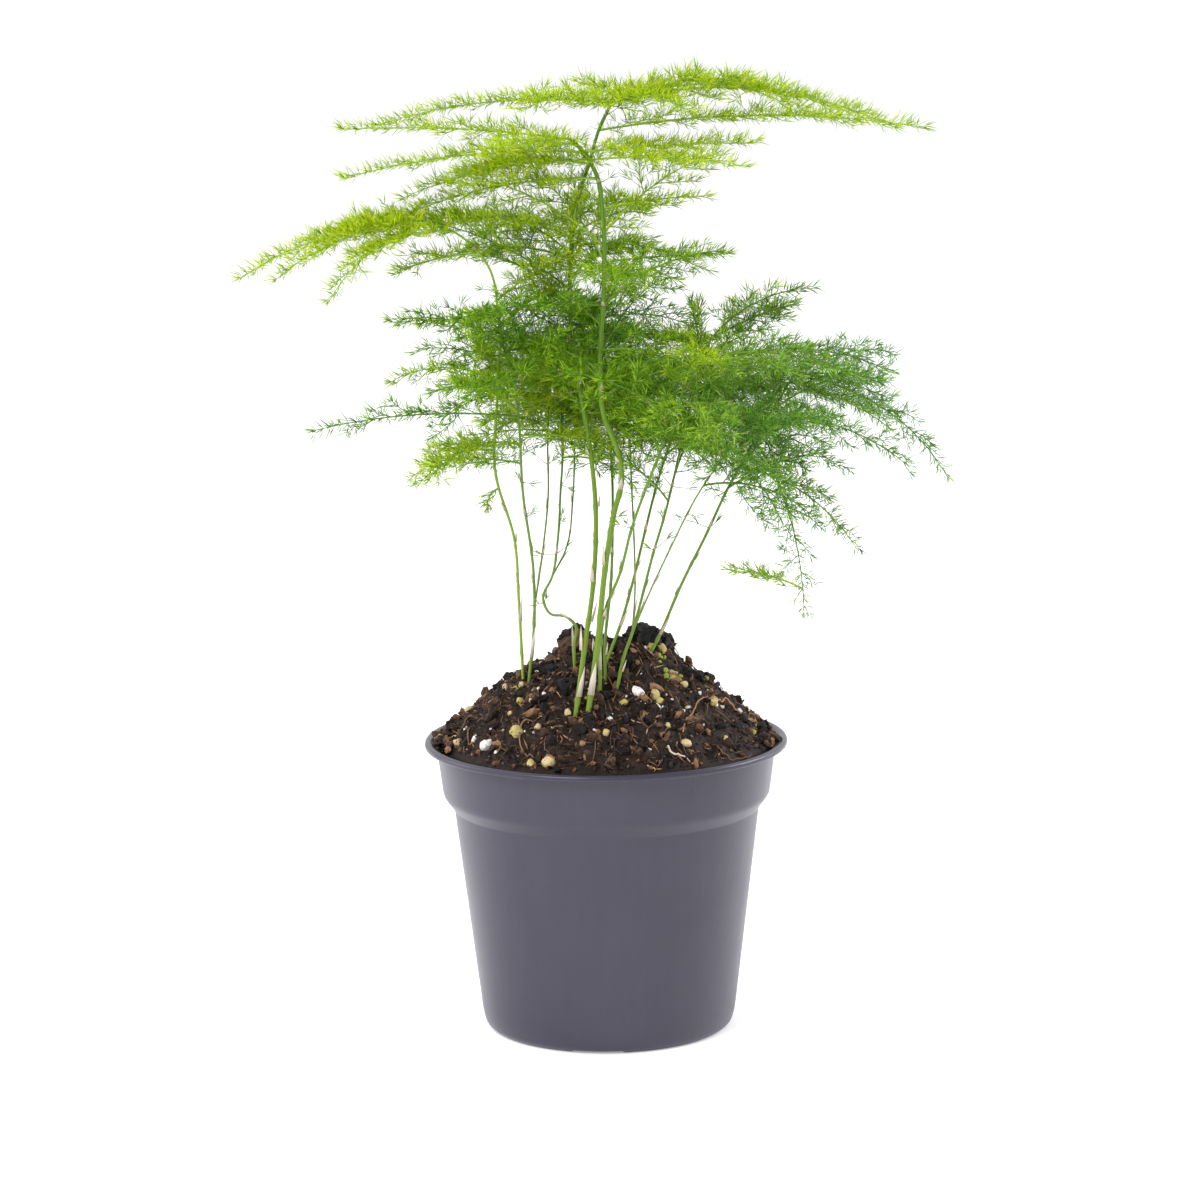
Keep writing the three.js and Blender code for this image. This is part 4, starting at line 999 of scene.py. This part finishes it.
def midrib_line(start, azimuth, length, rise, fall):
    """An arc that leaves at the rise and ends at the fall."""
    steps = branchlets_on(length) * FINER * 2
    slope = radians(rise + (fall - rise) * (np.arange(steps) + 0.5) / steps)
    step = heading(radians(azimuth), slope)
    return np.concatenate([[start], start + np.cumsum(step * length / steps, 0)])


def at_share(path, share):
    """The points and directions at shares of a path's length. Its points lie evenly."""
    spot = np.clip(np.asarray(share) * (len(path) - 1), 0, len(path) - 1.001)
    low = spot.astype(int)
    part = (spot - low)[:, None]
    return path[low] * (1 - part) + path[low + 1] * part, unit(path[low + 1] - path[low])


def fanned(along, hand, opened, rise, roll=0.0):
    """Directions that leave a branch to its left or right, opened, raised and rolled by radians."""
    side, over = sides_of(along)
    side, over = side * np.cos(roll) + over * np.sin(roll), over * np.cos(roll) - side * np.sin(roll)
    way = along * np.cos(opened)[:, None] + side * (hand * np.sin(opened))[:, None]
    return way * np.cos(rise)[:, None] + over * np.sin(rise)[:, None]


def branchlet_lines(midrib, length, half_width, wild, roll):
    """All branchlets of a midrib, to the left and right by turns, as paths, with their lengths."""
    number = np.arange(branchlets_on(length) * FINER)
    at = (number + 0.5) / len(number)
    point, along = at_share(midrib, at)
    hand = np.where(number % 2, -1.0, 1.0)
    fullness = (0.3 + 0.7 * np.minimum(1, at / LONGEST_AT)) * (1 - at) ** SLENDER_TIP
    wanted = (length * half_width * fullness + BRANCHLET_LEAST) * chance.uniform(0.65, 1.12, len(number))
    lift = chance.normal(0, wild, len(number))
    turned_in = chance.normal(0, 0.6 * wild, len(number))
    paths = [point]
    for step in range(BRANCHLET_STEPS):
        t = 2 * (step + 0.5) / BRANCHLET_STEPS - 0.5
        opened = OPEN_AT_BASE + (OPEN_AT_TIP - OPEN_AT_BASE) * at - CURVE_IN * t + turned_in
        rise = DROOP * ((number * GOLDEN) % 1 - 0.5 - t) + lift * (1 - 0.5 * t)
        way = fanned(along, hand, radians(opened), radians(rise), roll)
        paths.append(paths[-1] + way * wanted[:, None] / BRANCHLET_STEPS)
    return np.stack(paths, 1), wanted


# %% [markdown]
# ### Twigs and needles
# A real frond branches twice before it ends in needles, each about 5 mm long and a third of a millimetre
# wide, in tufts every 2 mm. A particle system would be lost in the exported model, so each needle is a
# real spindle of six triangles with its foot in the twig. Young fronds at the top have longer, yellower
# needles that point upwards.

# %% Fern: twigs
TWIG_EVERY, TWIG_SHARE, TWIG_LEAST, TWIG_FREE = 3.3, 0.34, 1.6, 1.5


def twigs_of(paths, lengths, wild):
    """Straight twigs along branchlets, left and right by turns: bases, ends, lengths, branchlet numbers."""
    bases, ways, sizes, owners = [np.zeros((0, 3))], [np.zeros((0, 3))], [np.zeros(0)], [np.zeros(0, int)]
    for number, (path, length) in enumerate(zip(paths, lengths)):
        count = int((length - TWIG_FREE) / TWIG_EVERY)
        if count < 1:
            continue
        at = (np.arange(count) + chance.uniform(0.3, 0.8, count)) * TWIG_EVERY / length
        point, along = at_share(path, at)
        hand = np.where((np.arange(count) + number) % 2, -1.0, 1.0)
        opened, rise = radians(chance.normal(50, 8, count)), radians(chance.normal(6, 8 + wild, count))
        bases.append(point)
        ways.append(fanned(along, hand, opened, rise, chance.normal(0, 0.03 * wild)))
        sizes.append((TWIG_SHARE * length * (1 - at) ** 0.8 + TWIG_LEAST) * chance.uniform(0.6, 1.1, count))
        owners.append(np.full(count, number))
    bases, ways, sizes, owners = (np.concatenate(part) for part in (bases, ways, sizes, owners))
    return bases, bases + ways * sizes[:, None], sizes, owners


# %% Fern: tufts of needles
YOUNG_TUFTS, OLD_TUFTS, PER_TUFT = 1.85, 2.25, 6
YOUNG_NEEDLE, OLD_NEEDLE, NEEDLE_RADIUS = 5.9, 5.6, 0.165
TUFT_FAN = 5.0


def tufts_on(paths, lengths, first, ages):
    """Tufts on paths, from the tip down to the first millimetres: points, ways, if at a tip, path numbers."""
    points, ways, tips, owners = [], [], [], []
    for number, (path, length) in enumerate(zip(paths, lengths)):
        apart = OLD_TUFTS + (YOUNG_TUFTS - OLD_TUFTS) * ages[number]
        count = max(1, int((length - first) / apart))
        at = 1 - (np.arange(count) + chance.uniform(0, 0.4, count)) * apart / length
        point, along = at_share(path, at)
        points.append(point)
        ways.append(along)
        tips.append(np.arange(count) == 0)
        owners.append(np.full(count, number))
    return tuple(np.concatenate(part) for part in (points, ways, tips, owners))


def needles_on(tufts):
    """Needles of all tufts: bases, ways, lengths, bends and tuft numbers. At a tip they close up round it.

    A tuft is a fan of about two thirds of a turn, open to a side of its own.
    """
    who = np.repeat(np.arange(len(tufts["point"])), PER_TUFT)
    count = len(who)
    along, age = tufts["way"][who], tufts["age"][who]
    turn = (np.arange(count) % PER_TUFT + chance.uniform(0, 1, count)) / PER_TUFT * TUFT_FAN
    turn = turn + chance.uniform(0, 2 * np.pi, len(tufts["point"]))[who]
    opened = radians(np.where(tufts["tip"][who], chance.uniform(8, 48, count), chance.normal(55, 13, count)))
    way = along * np.cos(opened)[:, None] + around(along, turn) * np.sin(opened)[:, None]
    way = unit(way + UP * (0.05 + 0.45 * age)[:, None])
    below = np.clip(-way[:, 2], 0, 1)
    full = OLD_NEEDLE + (YOUNG_NEEDLE - OLD_NEEDLE) * age
    length = full * chance.uniform(0.5, 1.15, count) * (1 - 0.5 * below * age)
    return tufts["point"][who], way, length, chance.normal(0.02, 0.05, count), who


# %% [markdown]
# Old shoots of the plant are dark, and new ones nearly yellow. One random colour for each stem would look
# painted, so freshness from 0 to 1 comes from the stem, from the height, and from patches where the
# photograph shows them.

# %% Fern: which green
PATCH = 0.05
FRESH_ABOVE, FRESH_OVER = 246, 34
# Where the photograph shows yellow-green sprays in the thicket: x, z and radius.
FRESH_SPOTS = [
    (-14, 216, 9), (-24, 203, 9), (0, 200, 10), (44, 238, 11), (-46, 192, 8), (30, 226, 6), (72, 190, 7),
]


def freshness(own, points):
    """How fresh leaves at points are: by their stem, their height, and patches some 25 mm wide."""
    high = np.clip((points[:, 2] - FRESH_ABOVE) / FRESH_OVER, 0, 1)
    patch = np.array([noise.noise(point * PATCH) for point in points])
    age = own + 0.75 * high + 0.8 * np.clip(patch - 0.1, 0, 1) * (1 - high)
    for x, z, radius in FRESH_SPOTS:
        age = age + 0.5 * np.exp(-(((points[:, 0] - x) ** 2 + (points[:, 2] - z) ** 2) / radius**2))
    return np.clip(age, 0, 1)


def coolness(points):
    """Fronds low on the right are a greyer, bluer green."""
    return np.clip((points[:, 0] - 5) / 90, 0, 1) * np.clip((255 - points[:, 2]) / 40, 0, 1)


# %% [markdown]
# A stem is grown from its line: the cane first, then its fronds, then sprays that fill the thicket.
# Everything is gathered in lists and made into a few meshes at the end, because thousands of objects would
# be slow to handle.

# %% Fern: growing one stem
STEM_SIDES, STEM_STEP = 8, 1.6
BURIED, FORK_TAPER = 8.0, 0.8
JOINT_EVERY, JOINT_SWELL, JOINT_HALF = 12.5, 0.25, 0.9
STOUT, SLENDER = 0.95, 0.74
TWIGLETS, TWIGLET_AGE, TWIGLETS_ABOVE = 2, 0.35, 0.42


class Growth:
    """What has grown on a stem so far: canes with their numbers, tufts of needles, and joints."""

    def __init__(self, name):
        self.name = name
        self.radii, self.age, self.sprays, self.routes = STEMS[name]
        self.canes, self.numbers, self.tufts, self.joints = [], [], [], []

    def cane(self, paths, thickness, sides, ripe, age):
        paths, thickness = np.asarray(paths), np.asarray(thickness)
        count, stations = thickness.shape
        along = np.concatenate([np.repeat(np.linspace(0, 1, stations), sides), [0, 1]])
        around_it = np.concatenate([np.tile(np.arange(sides) / sides, stations), [0.5, 0.5]])
        ripe = ripe[0] + (ripe[1] - ripe[0]) * np.tile(along, count)
        age = np.repeat(np.broadcast_to(age, count), len(along))
        self.canes.append(tubes(paths, thickness, sides))
        self.numbers.append(np.column_stack([ripe, np.tile(around_it, count), age]))

    def needles(self, paths, lengths, first, age):
        ages = np.broadcast_to(age, len(paths))
        points, ways, tips, owners = tufts_on(paths, lengths, first, ages)
        self.tufts.append({"point": points, "way": ways, "tip": tips, "age": ages[owners]})

    def twiglet(self, start):
        """Two short twigs at a joint of a bare stem, with a few needles each."""
        ways = heading(chance.uniform(0, 2 * np.pi, TWIGLETS), chance.uniform(-0.4, 0.9, TWIGLETS))
        sizes = chance.uniform(1.5, 6.0, TWIGLETS)
        twigs = np.stack([start + 0 * ways, start + ways * sizes[:, None]], 1)
        thick = np.tile([TWIG_RADIUS * 1.3, TWIG_RADIUS * 0.7], (TWIGLETS, 1))
        self.cane(twigs, thick, 3, (0.8, 1.0), TWIGLET_AGE)
        self.needles(twigs, sizes, 2.0, TWIGLET_AGE)

    def frond(self, start, azimuth, length, rise, fall, half_width, roll=0.0, fresh=0.0):
        """A frond along an arc. Young ones are flat, old ones loose and turned. Returns its midrib."""
        midrib = midrib_line(start, azimuth, length, rise, fall)
        age = np.clip(freshness(self.age, midrib[len(midrib) // 2][None]) + fresh, 0, 1)
        wild = float(17 - 11 * age[0])
        roll = roll or chance.normal(0, 0.5 * max(0.0, 0.8 - age[0]))
        thick = MIDRIB_RADIUS * (1 - 0.65 * np.linspace(0, 1, len(midrib)))
        self.cane(midrib[None], thick[None], 5, (0.8, 0.95), age)
        self.needles(midrib[None], [length], length * 0.25, age)
        paths, lengths = branchlet_lines(midrib, length, half_width, wild, roll)
        ages = 0.5 * age + 0.5 * np.clip(freshness(self.age, paths[:, -1]) + fresh, 0, 1)
        thick = BRANCHLET_RADIUS * (1 - 0.5 * np.linspace(0, 1, BRANCHLET_STEPS + 1))
        self.cane(paths, np.tile(thick, (len(paths), 1)), 4, (0.7, 1.0), ages)
        self.needles(paths, lengths, 1.5, ages)
        bases, ends, sizes, owners = twigs_of(paths, lengths, wild)
        if len(bases):
            twigs = np.stack([bases, ends], 1)
            thick = np.tile([TWIG_RADIUS, TWIG_RADIUS * 0.6], (len(twigs), 1))
            self.cane(twigs, thick, 3, (0.8, 1.0), ages[owners])
            self.needles(twigs, sizes, 1.0, ages[owners])
        return midrib


def grow_cane(growth, number, points, radii):
    """A stem or fork with its swollen joints. The main stem is buried a little in the soil.

    Returns its line, with each point's place in the list of points.
    """
    points = np.array(points, float)
    if number == 0:
        points[0, 2] = packed_height(*points[0, :2])
    line, places = smooth_line(points, STEM_STEP)
    if number == 0:
        foot = points[0] - unit(points[1] - points[0]) * BURIED
        line = np.concatenate([np.linspace(foot, points[0], 6)[:-1], line])
        places = np.concatenate([np.zeros(5), places])
    reach = np.concatenate([[0], np.cumsum(np.linalg.norm(np.diff(line, axis=0), axis=1))])
    marks = np.arange(14 if number == 0 else 6, reach[-1] - 3, JOINT_EVERY)
    marks = marks + chance.uniform(-2.5, 2.5, len(marks))
    swell = JOINT_SWELL * np.exp(-(((reach[:, None] - marks) / JOINT_HALF) ** 2)).sum(1)
    share = places / places[-1]
    thickness = (radii[0] + (radii[1] - radii[0]) * share) * (1 + swell)
    growth.cane(line[None], thickness[None], STEM_SIDES, (0.0, 0.9), growth.age)
    spots = np.searchsorted(reach, marks)
    for spot in spots:
        way = unit(line[min(spot + 1, len(line) - 1)] - line[spot - 1])
        growth.joints.append((line[spot], way, thickness[spot], share[spot]))
    for spot in spots[share[spots] > TWIGLETS_ABOVE]:
        growth.twiglet(line[spot])
    return line, places


def grow_fronds(growth, number, fronds, leave_at):
    """The fronds of a route, the spray that hangs from one, and the sprays that fill the thicket."""
    midribs = [growth.frond(leave_at(leaves), *frond) for leaves, *frond in fronds]
    if number == 0 and growth.name in HANGING:
        which, at, *spray = HANGING[growth.name]
        growth.frond(midribs[which][int(at * len(midribs[which]))], *spray, fresh=HANGING_FRESH)
    for _, first, last, count, length in [spray for spray in growth.sprays if spray[0] == number]:
        turn = chance.uniform(0, 360)
        for i in range(count):
            azimuth = turn + 360 * GOLDEN * i
            if growth.name in BARE_IN_FRONT and np.sin(radians(azimuth)) < -0.5:
                azimuth += 180
            size, rise = length * chance.uniform(0.7, 1.15), chance.uniform(0, 55)
            fall = rise - chance.uniform(15, 55)
            start = leave_at(first + (last - first) * (i + 0.5) / count)
            growth.frond(start, azimuth, size, rise, fall, 0.44, chance.normal(0, 0.6))


def grow_stem(name):
    """A whole stem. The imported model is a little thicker, so that its solids hold together."""
    growth = Growth(name)
    radii = growth.radii
    seen = STOUT if radii[0] > 0.9 else SLENDER
    for number, (points, fronds) in enumerate(growth.routes):
        low, high = radii if number == 0 else (radii[1], radii[1] * FORK_TAPER)
        line, places = grow_cane(growth, number, points, (low * seen, high * seen))
        top = len(points) - 1.15
        grow_fronds(growth, number, fronds, lambda leaves: line[np.searchsorted(places, min(leaves, top))])
    return growth


# %% [markdown]
# ### Green that lets light through
# Needles are thin, so light from behind passes into them: the material mixes a plain surface with a
# translucent one. The colour comes from numbers on each needle, its age, how cool it is, its own shade,
# and how far a point lies along it. The flat map is laid out by the same numbers, which keeps a baked
# picture of it small and true.

# %% Fern: needle green
# Old, fresh and cool green, each from a dark to a light shade.
GREENS = [
    ("#165c00", "#4aa20a", "#a8e048"),
    ("#90b800", "#c8e40c", "#f0f83c"),
    ("#2a7020", "#62a94a", "#b4da8e"),
]
PALE_TIP, DEAD_BROWN = "#dcec54", "#7d5a3a"
# The skin of a cane low down and further up, each for an old and a fresh stem.
CANE_GREENS = [("#627c20", "#98b426"), ("#3f7612", "#9dc02a")]


def thin_leaf(material, tree, colour, share, finish):
    """Ends a material as a thin leaf: a surface, mixed with a share of light that passes through."""
    surface = add_node(tree, "BsdfPrincipled", {"Base Color": colour} | finish)
    through = add_node(tree, "BsdfTranslucent", {"Color": colour})
    both = add_node(tree, "MixShader", {0: share, 1: surface, 2: through})
    add_node(tree, "OutputMaterial", {"Surface": both})
    return material


def fern_needles():
    """Living cladodes: green that glows a little where light passes through, paler at the tips."""
    material, tree = new_material("living_fern_needles")
    keys = ("shade", "age", "cool", "along", "dry")
    read = [add_node(tree, "Attribute", attribute_name=key).outputs["Fac"] for key in keys]
    shade, age, cool, along, dry = read
    stops = [list(zip((0.0, 0.5, 1.0), colours)) for colours in GREENS]
    green, fresh, grey = (add_node(tree, "ValToRGB", {"Fac": shade}, colours) for colours in stops)
    pale = add_node(tree, "MapRange", {"Value": along, "From Min": 0.3, "To Max": 0.25})
    for share, other in ((age, fresh), (cool, grey), (pale, PALE_TIP), (dry, DEAD_BROWN)):
        green = add_node(tree, "Mix", {0: share, 6: green, 7: other}, data_type="RGBA").outputs[2]
    return thin_leaf(material, tree, green, 0.38, {"Roughness": 0.5, "Specular IOR Level": 0.1})


def fern_canes():
    """Living cane: smooth green skin, yellower low down, with the leaf green of its frond further out."""
    material, tree = new_material("living_fern_canes")
    age, ripe = (add_node(tree, "Attribute", attribute_name=key).outputs["Fac"] for key in ("age", "ripe"))
    greens = [(age, old, fresh) for old, fresh in CANE_GREENS]
    low, high = (add_node(tree, "Mix", {0: a, 6: b, 7: c}, data_type="RGBA").outputs[2] for a, b, c in greens)
    skin = add_node(tree, "Mix", {0: ripe, 6: low, 7: high}, data_type="RGBA").outputs[2]
    finish = {"Base Color": skin, "Roughness": 0.4, "Specular IOR Level": 0.35}
    add_node(tree, "OutputMaterial", {"Surface": add_node(tree, "BsdfPrincipled", finish)})
    return material


def papery_scales():
    """Dry scale leaves: thin bleached paper that lets light through, brown at the foot."""
    material, tree = new_material("dry_papery_scales")
    shade = add_node(tree, "Attribute", attribute_name="shade").outputs["Fac"]
    stops = [(0.0, "#8a6844"), (0.35, "#c9bb98"), (1.0, "#f4f0e4")]
    cream = add_node(tree, "ValToRGB", {"Fac": shade}, stops)
    return thin_leaf(material, tree, cream, 0.3, {"Roughness": 0.7})


needle_green, cane_skin, scale_paper = fern_needles(), fern_canes(), papery_scales()

# %% [markdown]
# The true leaves of the plant are dry scales that clasp the stem at each joint. Each could be a flat card,
# but a bent and closed flake of seven points has a front and a back, and keeps its thickness from the
# side.

# %% Fern: papery scales
# One scale leaf: across, along and out, as shares of its width, length and width.
FLAKE = np.array([
    (-0.5, 0, 0), (0.5, 0, 0), (-0.42, 0.45, 0.1), (0.42, 0.45, 0.1), (0, 1, 0.35), (0, 0, 0.4),
    (0, 0.45, 0.45),
])
FLAKE_FACES = np.array([(0, 5, 6), (0, 6, 2), (5, 1, 3), (5, 3, 6), (2, 6, 4), (6, 3, 4)])
FLAKE_BORDER = [0, 5, 1, 3, 4, 2]
FLAKE_THICKNESS = 0.12


def flakes(bases, ways, outs, lengths, widths):
    """Thin closed scale leaves that clasp a stem, as (vertices, faces)."""
    across = np.cross(ways, outs)
    front = bases[:, None] + FLAKE[:, :1] * across[:, None] * widths[:, None, None]
    front = front + FLAKE[:, 1:2] * ways[:, None] * lengths[:, None, None]
    front = front + FLAKE[:, 2:] * outs[:, None] * widths[:, None, None]
    back = front - outs[:, None] * FLAKE_THICKNESS
    size = len(FLAKE)
    size, edge = len(FLAKE), np.array(FLAKE_BORDER)
    after = np.roll(edge, -1)
    sides = [np.stack([edge, edge + size, after + size], -1), np.stack([edge, after + size, after], -1)]
    faces = np.concatenate([FLAKE_FACES, FLAKE_FACES[:, ::-1] + size, *sides])
    return np.concatenate([front, back], 1).reshape(-1, 3), copies(faces, len(bases), 2 * size)


def make_scales(growth):
    """A scale leaf at each joint, large and white low on the stem, small and brown higher up."""
    spots, ways, radius, high = (np.array(part) for part in zip(*growth.joints))
    count = len(spots)
    outs = around(ways, np.arange(count) * 2.6 + chance.uniform(-0.6, 0.6, count))
    lengths = (4.6 - 3.4 * high) * chance.uniform(0.7, 1.3, count)
    # The lowest joints keep the long sheath of the young shoot, most of them.
    lengths = lengths + 6.0 * np.clip(1.3 - high / 0.16, 0, 1) * (chance.uniform(0, 1, count) < 0.7)
    bases = spots + outs * (radius * 0.72)[:, None]
    vertices, faces = flakes(bases, unit(ways + 0.08 * outs), outs, lengths, radius * 1.9)
    reach = np.tile(np.concatenate([FLAKE[:, 1]] * 2), count)
    shade = 0.55 + 0.4 * reach - 0.5 * np.repeat(high, 2 * len(FLAKE))
    make_piece(f"{growth.name}_scales", vertices, faces, scale_paper, None, {"shade": shade.clip(0, 1)})


# %% [markdown]
# Each stem becomes three meshes: canes, scales and needles. Needles of one age, coolness and shade lie on
# the same cell of the flat map, and dead ones in a column of their own, so that a small picture holds all
# their colours.

# %% Fern: making the pieces
AGES, COOLS, SHADES = 8, 3, 16
COLUMNS = AGES * COOLS + 1
DEAD_TUFTS = 0.004
# A needle's five points, its foot, ring of three and tip, on its cell of the flat map.
CELL_ALONG = np.array([0.0, WIDEST_AT, WIDEST_AT, WIDEST_AT, 1.0])
CELL_ACROSS = np.array([0.5, 0.3, 0.7, 0.5, 0.5])
CELL_NUDGE = np.array([0.0, 0.0, 0.0, 0.04, 0.0])


def make_canes(growth):
    vertices, faces = joined(growth.canes)
    ripe, around_it, age = np.concatenate(growth.numbers).T
    band = np.round(age * (AGES - 1))
    flat = np.column_stack([0.02 + 0.96 * ripe, (band + 0.15 + 0.6 * around_it) / AGES])
    numbers = {"ripe": ripe, "age": band / (AGES - 1)}
    make_piece(f"{growth.name}_canes", vertices, faces, cane_skin, growth.name, numbers, flat)


def make_needles(growth):
    """All needles of a stem, with their numbers in even steps. Returns how many there are."""
    tufts = {key: np.concatenate([part[key] for part in growth.tufts]) for key in growth.tufts[0]}
    bases, ways, lengths, bends, who = needles_on(tufts)
    count, all_tufts = len(bases), len(tufts["point"])
    radii = NEEDLE_RADIUS * chance.uniform(0.85, 1.15, count)
    vertices, faces = spindles(bases, ways, lengths, radii, bends)
    own = chance.normal(0, 0.16, all_tufts)[who]
    age = np.round(np.clip(tufts["age"][who] + chance.normal(0, 0.07, count), 0, 1) * (AGES - 1))
    cool = np.round(np.clip(coolness(bases) + chance.normal(0, 0.1, count), 0, 1) * (COOLS - 1))
    shade = np.floor(np.clip(0.48 + own + chance.normal(0, 0.17, count), 0, 0.999) * SHADES)
    dry = (chance.uniform(0, 1, all_tufts) < DEAD_TUFTS)[who] & (age < 0.5 * AGES)
    column = np.repeat(np.where(dry, COLUMNS - 1, age * COOLS + cool), 5)
    column = column + np.tile(0.08 + 0.84 * CELL_ALONG + CELL_NUDGE, count)
    row = np.repeat(shade, 5) + np.tile(CELL_ACROSS, count)
    numbers = {
        "age": np.repeat(age / (AGES - 1), 5),
        "cool": np.repeat(cool / (COOLS - 1), 5) * 0.8,
        "shade": np.repeat(shade / (SHADES - 1), 5),
        "along": np.tile(CELL_ALONG, count),
        "dry": np.repeat(dry, 5).astype(float),
    }
    flat = np.column_stack([column / COLUMNS, row / SHADES])
    make_piece(f"{growth.name}_needles", vertices, faces, needle_green, growth.name, numbers, flat)
    return count


needles_made = 0
for stem_name in STEMS:
    stem_growth = grow_stem(stem_name)
    make_canes(stem_growth)
    make_scales(stem_growth)
    needles_made += make_needles(stem_growth)
print("needles in all:", needles_made)
